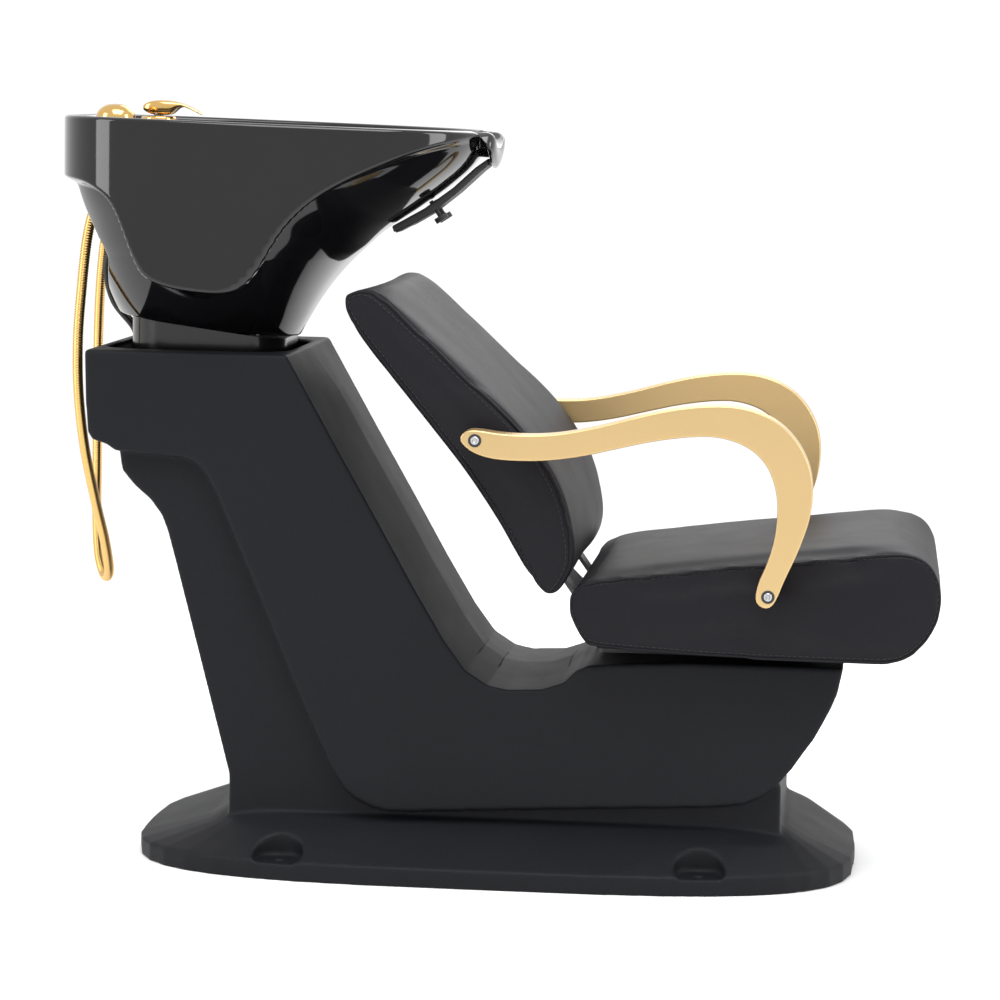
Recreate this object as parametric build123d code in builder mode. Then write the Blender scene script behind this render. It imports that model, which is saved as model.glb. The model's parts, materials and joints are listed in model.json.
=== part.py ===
from build123d import *
import os
import math

# Shampoo backwash unit: moulded pedestal, tilting basin, fixed seat with swept arms.
# Frame: millimetres, +Z up, +X towards the seat front, +Y to the sitter's left,
# origin on the floor at the centre of the base flange.

os.makedirs("parts", exist_ok=True)

SIDES = (-1, 1)             # right (-Y), left (+Y)

# ---------------------------------------------------------------- driving dimensions
# Base moulding
WALL = 5.0                  # moulded shell wall
PANEL_HALF = 188.0          # half width of the raised side panel
PEDESTAL_HALF = 165.0       # half width of the inset pedestal
EDGE_FILLET = 3.0
FLANGE_EDGE = 24.0          # height of the upright flange edge
FLANGE_TOP = 57.0           # height of the flange crease at the pedestal
FLARE_RISE = 15.0           # height of the flare above the crease
ANCHOR_X = (-262.0, 296.0)  # floor anchor positions along the unit
ANCHOR_Y = 238.0
ANCHOR_R = 7.0
ANCHOR_POCKET_R = 33.0

# Plan outlines of the flange: rear X, front X, half width, squareness
FLANGE_FOOT = (-481, 497, 275, 3.4)
FLANGE_CREASE = (-376, 436, 205, 7)
FLANGE_FLARE = (-350, 406, 171, 9)
FLANGE_CAVITY = (-340, 395, 168, 12)

# Hole pattern of the service panel, as spacings and counts
PANEL_SCREW_GRID = (228, 200, 2, 2)

# Seat mounting, fixing positions (X, Y)
DECK_BOLTS = [(190, -62), (190, 62), (400, -62), (400, 62)]
BOARD_SCREWS = [(190, -96), (190, 96), (395, -96), (395, 96)]
DECK_BOLT_R = 4.0
BOARD_SCREW_R = 3.0
BOARD_HOLE_R = 3.3
BRACKET_Z = 296.2           # underside of the seat bracket
BRACKET_PLATE = 5.0
SEAT_BOARD_Z = 322.0
SEAT_BOARD_T = 15.0         # plywood thickness

# Cushions
CUSHION_HALF = 250.0        # half width of both cushions
BOARD_CORNER = 25.0
BOARD_POCKET_GROWTH = 2.0   # how much each board pocket is larger than its board
SEAT_BOARD_X = 360.0
SEAT_BOARD_SIZE = (420, 440)
BACK_BOARD_SLIDE = 165.0    # distances down the back plane
BACK_BOARD_SIZE = (280, 430)
BACK_BLOCK_SLIDE = 178.0
SEAT_BLOCK_X = 376.0
BLOCK_SIZE = (80, 36)       # plan size of an arm block
BLOCK_POCKET = (82, 38)
BLOCK_Y = 217.0
STRAP_Y = 120.0             # centre of a back strap
STRAP_WIDTH = 40.0
STRAP_SLOT = 44.0

# Arms
ARM_INNER_Y = 260.0         # inner face of an arm
ARM_T = 36.0                # arm thickness
ARM_OUTER_Y = ARM_INNER_Y + ARM_T
SEAT_ARM_BOLT = (378, 402)  # X, Z
BACK_ARM_BOLT = (-3, 593)
ARM_BOLT_R = 4.0
ARM_THREAD_R = 4.05
ARM_HOLE_R = 4.3
ARM_BOLT_SPOTS = (SEAT_ARM_BOLT, BACK_ARM_BOLT)
ARM_BOLTS = [(x, z, side) for x, z in ARM_BOLT_SPOTS for side in SIDES]
BLOCK_BORE_Y = 236.0        # start of the thread in an arm block
BLOCK_BORE_DEPTH = 42.0
SPACER_CLEARANCE_R = 11.0   # cushion hole round a spacer

# Bowl and its tilt joint
PIVOT = (-393.0, 640.0)     # bowl tilt axis (X, Z)
PIN_R = 8.0
BUSH_R = 11.0
BUSH_BORE_R = PIN_R + 0.05
LUG_INNER_Y = 70.0
LUG_T = 8.0
CHEEK_INNER_Y = 52.0        # yoke cheeks, inside the frame lugs
CHEEK_T = 9.0
FOOT_X = -395.0             # centre of the bowl's round foot
BOWL_BOLTS = [(-340, 50), (-340, -50), (-455, 50), (-455, -50)]
COLLAR_SCREW_GRID = (140, 140, 2, 2)
DRAIN = (-400.0, 0.0)
DECK_Z = 976.0              # tap deck of the bowl
MIXER = (-484.0, 28.0)
HANDSET = (-527.0, -52.0)
HOSE_OUTLET = (-541, 86)    # elbow end of the shower hose
NECK_AXIS_Z = 1058.0        # axis of the neck cradle, along X

# ---------------------------------------------------------------- inclined planes
# Sloping rear face of the pedestal, facing rearward and slightly down
REAR = Plane(origin=(-381, 0, 264), x_dir=(0, -1, 0), z_dir=(-0.967, 0, -0.254))
# Rear face of the back cushion; local X runs down it, local Z into the cushion
BACK = Plane(origin=(-151.0, 0, 703.0), x_dir=(0.612, 0, -0.791), z_dir=(0.791, 0, 0.612))
# Tilted seating plane of the bowl's foot
FOOT = Plane(origin=(FOOT_X, 0, 717.0), x_dir=(0.9917, 0, -0.1287), z_dir=(0.1287, 0, 0.9917))
# Rim of the bowl, falling slightly towards the neck
RIM = Plane(origin=(-300, 0, 993.0), x_dir=(0.99971, 0, -0.02399),
            z_dir=(0.02399, 0, 0.99971))
# Slope under the neck of the bowl, facing forward and down
NECK_SLOPE = Plane(origin=(-92, 0, 880), x_dir=(0.835, 0, 0.55), z_dir=(0.55, 0, -0.835))

# ---------------------------------------------------------------- outlines (X, Z)
PANEL_OUTLINE = [
    (-539, 690), (-268, 689), (-197, 564), (-142, 469), (-93, 383), (-52, 315),
    (-23, 276), (7, 257), (32, 252), (79, 254), (108, 264), (125, 281), (140, 288),
    (183, 292), (262, 296), (476, 296), (469, 261), (461, 241), (451, 221), (440, 200),
    (426, 180), (412, 159), (391, 134), (371, 119), (352, 110), (319, 105), (293, 103),
    (107, 94), (-107, 82), (-127, 82), (-147, 87), (-168, 97), (-181, 107), (-195, 127),
    (-202, 139), (-243, 229), (-299, 362), (-361, 505), (-374, 528), (-388, 543),
    (-405, 549), (-448, 552), (-497, 556), (-508, 564), (-528, 570), (-534, 580),
    (-537, 621)]
PEDESTAL_OUTLINE = [
    (-497, 562), (-492, 528), (-475, 508), (-453, 489), (-438, 469), (-430, 449),
    (-419, 409), (-343, 120), (-343, 40), (398, 40), (398, 128), (380, 205),
    (100, 225), (0, 225), (-52, 262), (-170, 470), (-230, 562)]
SEAT_OUTLINE = [
    (110, 377), (111, 390), (120, 404), (133, 411), (185, 420), (288, 434), (417, 450),
    (519, 461), (545, 463), (570, 460), (590, 449), (602, 429), (607, 405), (606, 384),
    (599, 360), (587, 340), (568, 321), (549, 311), (530, 308), (485, 308), (420, 308),
    (291, 310), (226, 314), (161, 317), (141, 321), (128, 332), (115, 355)]
BACK_OUTLINE = [
    (-190, 767), (-187, 776), (-174, 783), (-158, 786), (-141, 781), (-108, 753),
    (-55, 705), (-2, 657), (51, 607), (88, 559), (111, 515), (123, 463), (125, 437),
    (119, 412), (105, 390), (94, 380), (82, 384), (68, 400), (49, 434), (27, 473),
    (3, 511), (-24, 550), (-55, 588), (-103, 646), (-151, 703), (-181, 741)]
ARM_OUTER_CURVE = [
    (-22, 598), (-16, 605), (-3, 607), (30, 602), (68, 601), (107, 604), (158, 615),
    (209, 630), (260, 642), (313, 647), (349, 643), (381, 630), (407, 608),
    (424, 580), (431, 554), (432, 529), (429, 503), (421, 477), (411, 451),
    (399, 425), (389, 398)]
ARM_INNER_CURVE = [
    (381, 387), (370, 387), (361, 396), (364, 417), (376, 444), (385, 476),
    (388, 515), (384, 544), (373, 571), (353, 591), (325, 603), (292, 607),
    (235, 600), (184, 588), (133, 575), (82, 568), (30, 568), (4, 573), (-12, 581),
    (-22, 591)]
LUG_OUTLINE = [(-432, 600), (-354, 600), (-372, 655), (-414, 655)]
# Side region of the flat skirt round the bowl
SKIRT_OUTLINE = [
    (-592, 1010), (-592, 925), (-586, 913), (-556, 909), (-536, 905), (-512, 890),
    (-500, 872), (-489, 843), (-478, 812), (-464, 786), (-434, 772), (-394, 764),
    (-354, 762), (-321, 764), (-298, 776), (-281, 797), (-268, 822), (-249, 855),
    (-223, 884), (-190, 908), (-144, 932), (-92, 955), (-46, 970), (-10, 985), (-10, 1010)]

# Bowl stations: Z, rear X, front X, half width
BOWL_OUTER = [
    (700, -508, -282, 113), (745, -534, -258, 139), (800, -553, -214, 168),
    (850, -566, -172, 194), (884, -574, -107, 214), (912, -580, -69, 223),
    (940, -584, -40, 229), (970, -588, -24, 233), (1004, -589, -20, 235)]
BOWL_INNER = [
    (772, -446, -354, 40), (786, -466, -310, 78), (820, -476, -252, 122),
    (868, -470, -178, 162), (915, -452, -116, 192), (955, -442, -76, 206),
    (1010, -438, -56, 212)]

# Handset profile: radius, Z
HANDSET_PROFILE = [
    (0, 925), (10, 925), (12, 930), (14.2, 978), (15, 982.4), (26, 988), (27, 994),
    (25, 1003), (19, 1009.5), (10, 1013), (0, 1014.5)]

# Hose centre lines: X, Y, Z
WASTE_PATH = [
    (DRAIN[0], 0, 556), (-392, 0, 490), (-352, 0, 420), (-300, 0, 330), (-230, 0, 240),
    (-190, 0, 150), (-180, 0, 60)]
SHOWER_PATH = [
    (HANDSET[0], HANDSET[1], 922.3), (-533, -54, 905), (-551, -58, 880), (-563, -61, 835),
    (-571, -62, 760), (-576, -60, 693), (-577, -50, 620), (-573, -30, 545),
    (-566, 5, 470), (-560, 45, 405), (-563, 88, 358), (-578, 128, 345), (-594, 160, 372),
    (-602, 182, 430), (-604, 192, 500), (-604, 194, 600), (-602, 188, 690),
    (-594, 168, 770), (-580, 140, 840), (-562, 112, 882), (-548, 95, 903), (-541, 86, 921)]
# Supply hoses: X, Y from the hose's own top or bottom position, Z
SUPPLY_UPPER = [
    (MIXER[0] - 4, 0, 922), (-494, 0, 902), (-518, 2, 864), (-545, 4, 825),
    (-556, 6, 786), (-546, 8, 742), (-521, 10, 706), (-514, 12, 680)]
SUPPLY_LOWER = [
    (-500, -10, 630), (-474, 0, 570), (-428, 0, 520), (-385, 0, 440), (-350, 0, 330),
    (-310, 0, 200), (-250, 0, 60)]


# ---------------------------------------------------------------- helpers
def save(builder, name):
    """Label a finished piece and write its STEP file."""
    builder.part.label = name
    export_step(builder.part, f"parts/{name}.step")


def level(z, centre=(0, 0)):
    """Horizontal plane at height z, centred on a plan position."""
    return Plane(origin=(centre[0], centre[1], z), x_dir=(1, 0, 0), z_dir=(0, 0, 1))


def upright(x, y, z, facing):
    """Plane square to Y; facing is the sign of its normal along Y."""
    return Plane(origin=(x, y, z), x_dir=(1, 0, 0), z_dir=(0, facing, 0))


def rounded(value, squareness):
    """Superellipse coordinate from a cosine or sine; squareness 2 is an ellipse."""
    return math.copysign(abs(value) ** (2 / squareness), value)


def flange_ring(x_rear, x_front, half, squareness):
    """Barrel shaped plan outline of the flange, widest at mid length."""
    count = 40
    middle = (x_rear + x_front) / 2
    points = []
    for i in range(count):
        angle = 2 * math.pi * i / count
        points.append((middle + (x_front - x_rear) / 2 * rounded(math.cos(angle), squareness),
                       half * rounded(math.sin(angle), squareness)))
    return points


def bowl_ring(x_rear, x_front, half, wide=-380.0, rear_square=3.2, front_square=2.6):
    """Plan outline of the bowl, widest near X = wide, with its own squareness at each end."""
    count = 36
    middle = min(max(wide, x_rear + half * 0.55), (x_rear + x_front) / 2)
    points = []
    for i in range(count):
        angle = 2 * math.pi * i / count
        cosine = math.cos(angle)
        squareness = front_square if cosine > 0 else rear_square
        reach = (x_front - middle) if cosine > 0 else (middle - x_rear)
        points.append((middle + reach * rounded(cosine, squareness),
                       half * rounded(math.sin(angle), squareness)))
    return points


def bowl_rings(stations, rear_rise, front_rise):
    """Height and outline of each station, elliptical at the bottom.

    The squareness grows by one over each rise in height.
    """
    bottom = stations[0][0]
    return [(z, bowl_ring(x_rear, x_front, half,
                          rear_square=2.0 + (z - bottom) / rear_rise,
                          front_square=2.0 + (z - bottom) / front_rise))
            for z, x_rear, x_front, half in stations]


def hose_planes(path):
    """Section planes square to a hose's centre line, without twist."""
    points = [Vector(*point) for point in path]
    planes = []
    across = Vector(0, 1, 0)
    for i, point in enumerate(points):
        along = (points[min(i + 1, len(points) - 1)] - points[max(i - 1, 0)]).normalized()
        across = (across - along * across.dot(along)).normalized()
        planes.append(Plane(origin=point, x_dir=across, z_dir=along))
    return planes


def hose(path, radius, facets):
    """Solid faceted hose along a path."""
    with BuildPart() as tube:
        for section in hose_planes(path):
            with BuildSketch(section):
                RegularPolygon(radius, facets)
        loft(ruled=True)
    return tube


# ================================================================ BASE
# One hollow moulding: raised side panels, inset pedestal and floor flange.
with BuildPart() as body_shell:
    with BuildSketch(Plane.XZ):
        with BuildLine():
            Polyline(*PANEL_OUTLINE, close=True)
        make_face()
    extrude(amount=PANEL_HALF, both=True)
    side_edges = body_shell.edges().filter_by(
        lambda edge: abs(abs(edge.center().Y) - PANEL_HALF) < 0.1)
    fillet(side_edges, radius=EDGE_FILLET)
    with BuildSketch(Plane.XZ):
        with BuildLine():
            Polyline(*PEDESTAL_OUTLINE, close=True)
        make_face()
    extrude(amount=PEDESTAL_HALF, both=True)
    # flange: upright edge, then a shallow slope up to the crease, then a flare
    with BuildSketch(Plane.XY):
        with BuildLine():
            Polyline(*flange_ring(*FLANGE_FOOT), close=True)
        make_face()
    extrude(amount=FLANGE_EDGE)
    slope = ((FLANGE_EDGE, FLANGE_FOOT), (FLANGE_TOP, FLANGE_CREASE))
    flare = ((FLANGE_TOP, FLANGE_CREASE), (FLANGE_TOP + FLARE_RISE, FLANGE_FLARE))
    for band in (slope, flare):
        for z, ring in band:
            with BuildSketch(level(z)):
                with BuildLine():
                    Polyline(*flange_ring(*ring), close=True)
                make_face()
        loft(ruled=True)
    # hollow inside of panel, pedestal and flange
    for outline, half_width in ((PANEL_OUTLINE, PANEL_HALF), (PEDESTAL_OUTLINE, PEDESTAL_HALF)):
        with BuildSketch(Plane.XZ):
            with BuildLine():
                Polyline(*outline, close=True)
            make_face()
            offset(amount=-WALL, kind=Kind.INTERSECTION, mode=Mode.REPLACE)
        extrude(amount=half_width - WALL, both=True, mode=Mode.SUBTRACT)
    # opening that joins the two hollows for the hoses
    with BuildSketch(level(552, (-443, 0))):
        Rectangle(86, 2 * (PEDESTAL_HALF - WALL))
    extrude(amount=9, mode=Mode.SUBTRACT)
    with BuildSketch(level(-1)):
        with BuildLine():
            Polyline(*flange_ring(*FLANGE_CAVITY), close=True)
        make_face()
    extrude(amount=60, mode=Mode.SUBTRACT)
    # underside pockets of the flange
    with BuildSketch(level(-1)):
        with Locations((18, -214), (18, 214)):
            Rectangle(430, 74)
        with Locations((-404, 0), (424, 0)):
            Rectangle(82, 290)
    extrude(amount=19, mode=Mode.SUBTRACT)
    # top opening for the collar
    with BuildSketch(level(660, (-403.5, 0))):
        RectangleRounded(249, 284, 58)
    extrude(amount=40, mode=Mode.SUBTRACT)
    # anchor pockets with a flat pad and a bolt hole each
    with BuildSketch(level(FLANGE_EDGE - 2)):
        with Locations(*[(x, side * (ANCHOR_Y + 6)) for x in ANCHOR_X for side in SIDES]):
            Circle(ANCHOR_POCKET_R)
    extrude(amount=50, mode=Mode.SUBTRACT)
    with BuildSketch(level(-1)):
        with Locations(*[(x, side * ANCHOR_Y) for x in ANCHOR_X for side in SIDES]):
            Circle(ANCHOR_R)
    extrude(amount=40, mode=Mode.SUBTRACT)
    # bolt holes through the deck for the seat bracket
    with BuildSketch(level(280)):
        with Locations(*DECK_BOLTS):
            Circle(4.6)
    extrude(amount=30, mode=Mode.SUBTRACT)
    # service opening in the sloping rear face, and its screw holes
    with BuildSketch(REAR):
        RectangleRounded(200, 200, 12)
    extrude(amount=14, both=True, mode=Mode.SUBTRACT)
    with BuildSketch(REAR):
        with GridLocations(*PANEL_SCREW_GRID):
            Circle(2.1)
    extrude(amount=14, both=True, mode=Mode.SUBTRACT)
save(body_shell, "body_shell")

# Removable service panel over the rear opening, held by four screws.
with BuildPart() as access_panel:
    with BuildSketch(REAR.offset(2.6)):
        RectangleRounded(262, 232, 14)
    extrude(amount=3)
    fillet(access_panel.faces().sort_by(Axis.X)[0].edges(), radius=1.2)
    with BuildSketch(REAR.offset(2.0)):
        with GridLocations(*PANEL_SCREW_GRID):
            Circle(2.4)
    extrude(amount=8, mode=Mode.SUBTRACT)
save(access_panel, "access_panel")

with BuildPart() as access_screws:
    # heads, then shanks: offset from the rear plane, radius, length
    for start, radius, length in ((5.7, 4.2, 2.2), (-8, 2.0, 14)):
        with BuildSketch(REAR.offset(start)):
            with GridLocations(*PANEL_SCREW_GRID):
                Circle(radius)
        extrude(amount=length)
    # cross slots
    with BuildSketch(REAR.offset(6.6)):
        with GridLocations(*PANEL_SCREW_GRID):
            Rectangle(5, 1.0)
            Rectangle(1.0, 5)
    extrude(amount=3, mode=Mode.SUBTRACT)
save(access_screws, "access_screws")

# Welded steel frame standing inside the moulding.
with BuildPart() as support_frame:
    # floor rails and cross rails
    with BuildSketch(Plane.XY):
        with Locations((20, -130), (20, 130)):
            Rectangle(680, 40)
        with Locations((-300, 0), (0, 0), (340, 0)):
            Rectangle(40, 240)
    extrude(amount=32)
    # posts under the bowl
    with BuildSketch(level(2)):
        with Locations((-300, -68), (-300, 68)):
            Rectangle(36, 30)
    extrude(amount=600)
    # posts under the seat
    with BuildSketch(level(2)):
        with Locations((340, -62), (340, 62)):
            Rectangle(30, 30)
    extrude(amount=240)
    # seat rails
    with BuildSketch(level(240)):
        with Locations((290, -62), (290, 62)):
            Rectangle(270, 36)
        with Locations((190, 0), (400, 0)):
            Rectangle(30, 130)
    extrude(amount=43)
    # top plate
    with BuildSketch(level(594, (-375, 0))):
        Rectangle(190, 184)
    extrude(amount=8)
    # pivot lugs, left then right; the XZ plane faces -Y
    for plane_offset in (-(LUG_INNER_Y + LUG_T), LUG_INNER_Y):
        with BuildSketch(Plane.XZ.offset(plane_offset)):
            with BuildLine():
                Polyline(*LUG_OUTLINE, close=True)
            make_face()
        extrude(amount=LUG_T)
    # bores for the pivot pins
    with BuildSketch(Plane.XZ.offset(-90)):
        with Locations(PIVOT):
            Circle(PIN_R + 0.03)
    extrude(amount=180, mode=Mode.SUBTRACT)
    # waste and supply passage
    with BuildSketch(level(560, DRAIN)):
        Circle(47)
    extrude(amount=60, mode=Mode.SUBTRACT)
    # threads for the seat bolts
    with BuildSketch(level(230)):
        with Locations(*DECK_BOLTS):
            Circle(DECK_BOLT_R + 0.05)
    extrude(amount=70, mode=Mode.SUBTRACT)
save(support_frame, "support_frame")

with BuildPart() as tilt_pins:
    for side in SIDES:
        with BuildSketch(upright(PIVOT[0], side * 49, PIVOT[1], side)):
            Circle(PIN_R)
        extrude(amount=31)
        with BuildSketch(upright(PIVOT[0], side * (LUG_INNER_Y + LUG_T + 0.2), PIVOT[1], side)):
            RegularPolygon(13, 6)
        extrude(amount=8)
save(tilt_pins, "tilt_pins")

# Slotted steel bracket between the deck and the seat board.
BRACKET_X = 290
BRACKET_LENGTH = 290
with BuildPart() as seat_bracket:
    with BuildSketch(level(BRACKET_Z, (BRACKET_X, 0))):
        RectangleRounded(BRACKET_LENGTH, 236, 10)
    extrude(amount=BRACKET_PLATE)
    # raised bars under the board
    with BuildSketch(level(301)):
        with Locations((BRACKET_X, -96), (BRACKET_X, 96)):
            Rectangle(BRACKET_LENGTH, 20)
    extrude(amount=20.8)
    # weight-saving slots
    with BuildSketch(Plane.XZ.offset(-120)):
        with Locations((165, 311), (225, 311), (355, 311), (415, 311)):
            SlotOverall(24, 8)
    extrude(amount=240, mode=Mode.SUBTRACT)
    with BuildSketch(level(290)):
        with Locations(*DECK_BOLTS):
            Circle(4.5)
        with Locations(*BOARD_SCREWS):
            Circle(BOARD_HOLE_R)
    extrude(amount=40, mode=Mode.SUBTRACT)
save(seat_bracket, "seat_bracket")

with BuildPart() as seat_bracket_bolts:
    with BuildSketch(level(BRACKET_Z + BRACKET_PLATE + 0.2)):
        with Locations(*DECK_BOLTS):
            RegularPolygon(7.5, 6)
    extrude(amount=5.5)
    with BuildSketch(level(256)):
        with Locations(*DECK_BOLTS):
            Circle(DECK_BOLT_R)
    extrude(amount=46)
save(seat_bracket_bolts, "seat_bracket_bolts")

# ================================================================ SEAT
with BuildPart() as seat_board:
    with BuildSketch(level(SEAT_BOARD_Z, (SEAT_BOARD_X, 0))):
        RectangleRounded(*SEAT_BOARD_SIZE, BOARD_CORNER)
    extrude(amount=SEAT_BOARD_T)
    with BuildSketch(level(SEAT_BOARD_Z - 2)):
        with Locations(*BOARD_SCREWS):
            Circle(BOARD_HOLE_R)
    extrude(amount=20, mode=Mode.SUBTRACT)
save(seat_board, "seat_board")

with BuildPart() as seat_board_screws:
    with BuildSketch(level(297)):
        with Locations(*BOARD_SCREWS):
            Circle(BOARD_SCREW_R)
    extrude(amount=38.5)
save(seat_board_screws, "seat_board_screws")

# Hardwood blocks that take the seat-end arm bolts.
with BuildPart() as seat_arm_blocks:
    for side in SIDES:
        with BuildSketch(level(SEAT_BOARD_Z + SEAT_BOARD_T + 0.2, (SEAT_BLOCK_X, side * BLOCK_Y))):
            Rectangle(*BLOCK_SIZE)
        extrude(amount=88)
        with BuildSketch(upright(SEAT_ARM_BOLT[0], side * BLOCK_BORE_Y, SEAT_ARM_BOLT[1], -side)):
            Circle(ARM_THREAD_R)
        extrude(amount=BLOCK_BORE_DEPTH, mode=Mode.SUBTRACT)
save(seat_arm_blocks, "seat_arm_blocks")

with BuildPart() as seat_cushion:
    with BuildSketch(Plane.XZ):
        with BuildLine():
            Polyline(*SEAT_OUTLINE, close=True)
        make_face()
    extrude(amount=CUSHION_HALF, both=True)
    # pockets for board, bracket and arm blocks
    with BuildSketch(level(SEAT_BOARD_Z - 0.5, (SEAT_BOARD_X, 0))):
        RectangleRounded(*[size + BOARD_POCKET_GROWTH for size in SEAT_BOARD_SIZE], BOARD_CORNER)
    extrude(amount=SEAT_BOARD_T + 1, mode=Mode.SUBTRACT)
    with BuildSketch(level(300, (BRACKET_X, 0))):
        Rectangle(304, 246)
    extrude(amount=22, mode=Mode.SUBTRACT)
    with BuildSketch(level(330)):
        with Locations((SEAT_BLOCK_X, -BLOCK_Y), (SEAT_BLOCK_X, BLOCK_Y)):
            Rectangle(*BLOCK_POCKET)
    extrude(amount=96, mode=Mode.SUBTRACT)
    # holes for the arm spacers, left then right
    for plane_offset in (-ARM_INNER_Y, BLOCK_BORE_Y):
        with BuildSketch(Plane.XZ.offset(plane_offset)):
            with Locations(SEAT_ARM_BOLT):
                Circle(SPACER_CLEARANCE_R)
        extrude(amount=ARM_INNER_Y - BLOCK_BORE_Y, mode=Mode.SUBTRACT)
    # slots for the back straps
    for side in SIDES:
        with BuildSketch(Plane.XZ.offset(-side * STRAP_Y - STRAP_SLOT / 2)):
            with BuildLine():
                Polyline((94, 396), (138, 334), (254, 334), (254, 346), (146, 346),
                         (110, 402), close=True)
            make_face()
        extrude(amount=STRAP_SLOT, mode=Mode.SUBTRACT)
save(seat_cushion, "seat_cushion")

# Two bent straps that join the back to the seat.
with BuildPart() as back_brackets:
    for side in SIDES:
        with BuildSketch(Plane.XZ.offset(-side * STRAP_Y - STRAP_WIDTH / 2)):
            with BuildLine():
                Polyline((-4.2, 563.6), (64.3, 475.1), (104.5, 397), (143, 342.6),
                         (250, 342.6), (250, 338), (140.6, 338), (100.2, 394.5),
                         (60.7, 472.3), (-7.8, 560.9), close=True)
            make_face()
        extrude(amount=STRAP_WIDTH)
save(back_brackets, "back_brackets")

# ================================================================ BACK
with BuildPart() as back_board:
    with BuildSketch(BACK.offset(14)):
        with Locations((BACK_BOARD_SLIDE, 0)):
            RectangleRounded(*BACK_BOARD_SIZE, BOARD_CORNER)
    extrude(amount=12)
save(back_board, "back_board")

with BuildPart() as back_arm_blocks:
    for side in SIDES:
        with BuildSketch(BACK.offset(26.2)):
            with Locations((BACK_BLOCK_SLIDE, side * BLOCK_Y)):
                Rectangle(*BLOCK_SIZE)
        extrude(amount=62)
        with BuildSketch(upright(BACK_ARM_BOLT[0], side * BLOCK_BORE_Y, BACK_ARM_BOLT[1], -side)):
            Circle(ARM_THREAD_R)
        extrude(amount=BLOCK_BORE_DEPTH, mode=Mode.SUBTRACT)
save(back_arm_blocks, "back_arm_blocks")

with BuildPart() as back_cushion:
    with BuildSketch(Plane.XZ):
        with BuildLine():
            Polyline(*BACK_OUTLINE, close=True)
        make_face()
    extrude(amount=CUSHION_HALF, both=True)
    # pockets for board and arm blocks
    with BuildSketch(BACK.offset(13.5)):
        with Locations((BACK_BOARD_SLIDE, 0)):
            RectangleRounded(*[size + BOARD_POCKET_GROWTH for size in BACK_BOARD_SIZE],
                             BOARD_CORNER)
    extrude(amount=13, mode=Mode.SUBTRACT)
    with BuildSketch(BACK.offset(26)):
        with Locations((BACK_BLOCK_SLIDE, -BLOCK_Y), (BACK_BLOCK_SLIDE, BLOCK_Y)):
            Rectangle(*BLOCK_POCKET)
    extrude(amount=63, mode=Mode.SUBTRACT)
    # spacer hole and strap slot on each side
    for side in SIDES:
        with BuildSketch(upright(BACK_ARM_BOLT[0], side * 234, BACK_ARM_BOLT[1], side)):
            Circle(SPACER_CLEARANCE_R)
        extrude(amount=26, mode=Mode.SUBTRACT)
        with BuildSketch(Plane.XZ.offset(-side * STRAP_Y - STRAP_SLOT / 2)):
            with BuildLine():
                Polyline((-2, 569), (67.5, 477.5), (108, 398.5), (146, 345), (137, 333),
                         (96.5, 391.5), (56.5, 469), (-13, 558), close=True)
            make_face()
        extrude(amount=STRAP_SLOT, mode=Mode.SUBTRACT)
save(back_cushion, "back_cushion")

# ================================================================ ARMS
COUNTERBORE_DEPTH = 6
for side, name in ((-1, "arm_right"), (1, "arm_left")):
    with BuildPart() as arm:
        with BuildSketch(upright(0, side * ARM_INNER_Y, 0, -1)):
            with BuildLine():
                Polyline(*(ARM_OUTER_CURVE + ARM_INNER_CURVE), close=True)
            make_face()
        extrude(amount=-side * ARM_T)
        chamfer(arm.edges().filter_by(
            lambda edge: abs(abs(edge.center().Y) - ARM_OUTER_Y) < 0.1), length=2.0)
        for x, z in ARM_BOLT_SPOTS:
            with BuildSketch(upright(x, side * (ARM_INNER_Y - 2), z, side)):
                Circle(ARM_HOLE_R)
            extrude(amount=ARM_T + 4, mode=Mode.SUBTRACT)
            with BuildSketch(upright(x, side * (ARM_OUTER_Y - COUNTERBORE_DEPTH), z, side)):
                Circle(8.6)
            extrude(amount=8, mode=Mode.SUBTRACT)
    save(arm, name)

with BuildPart() as arm_spacers:
    for x, z, side in ARM_BOLTS:
        with BuildSketch(upright(x, side * 235.2, z, side)):
            Circle(10)
            Circle(ARM_HOLE_R, mode=Mode.SUBTRACT)
        extrude(amount=ARM_INNER_Y - 235.4)
save(arm_spacers, "arm_spacers")

with BuildPart() as arm_washers:
    for x, z, side in ARM_BOLTS:
        with BuildSketch(upright(x, side * (ARM_OUTER_Y - COUNTERBORE_DEPTH + 0.1), z, side)):
            Circle(8.3)
            Circle(ARM_HOLE_R, mode=Mode.SUBTRACT)
        extrude(amount=1.6)
save(arm_washers, "arm_washers")

with BuildPart() as arm_bolts:
    for x, z, side in ARM_BOLTS:
        # head, hexagon socket, shank
        with BuildSketch(upright(x, side * (ARM_OUTER_Y - 4.2), z, side)):
            Circle(6.4)
        extrude(amount=4.6)
        with BuildSketch(upright(x, side * (ARM_OUTER_Y - 1.8), z, side)):
            RegularPolygon(3.4, 6)
        extrude(amount=4, mode=Mode.SUBTRACT)
        with BuildSketch(upright(x, side * (ARM_OUTER_Y - 4), z, -side)):
            Circle(ARM_BOLT_R)
        extrude(amount=88)
save(arm_bolts, "arm_bolts")

# ================================================================ BOWL (tilts)
# Upright band round the rim, cut to the skirt's side outline.
with BuildPart() as skirt:
    with BuildSketch(level(755)):
        with BuildLine():
            Polyline(*bowl_ring(-590, -20, 235), close=True)
        make_face()
        with BuildLine():
            Polyline(*bowl_ring(-574, -52, 219), close=True)
        make_face(mode=Mode.SUBTRACT)
    extrude(amount=250)
    with BuildSketch(Plane.XZ):
        with BuildLine():
            Polyline(*SKIRT_OUTLINE, close=True)
        make_face()
    extrude(amount=300, both=True, mode=Mode.INTERSECT)

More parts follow.
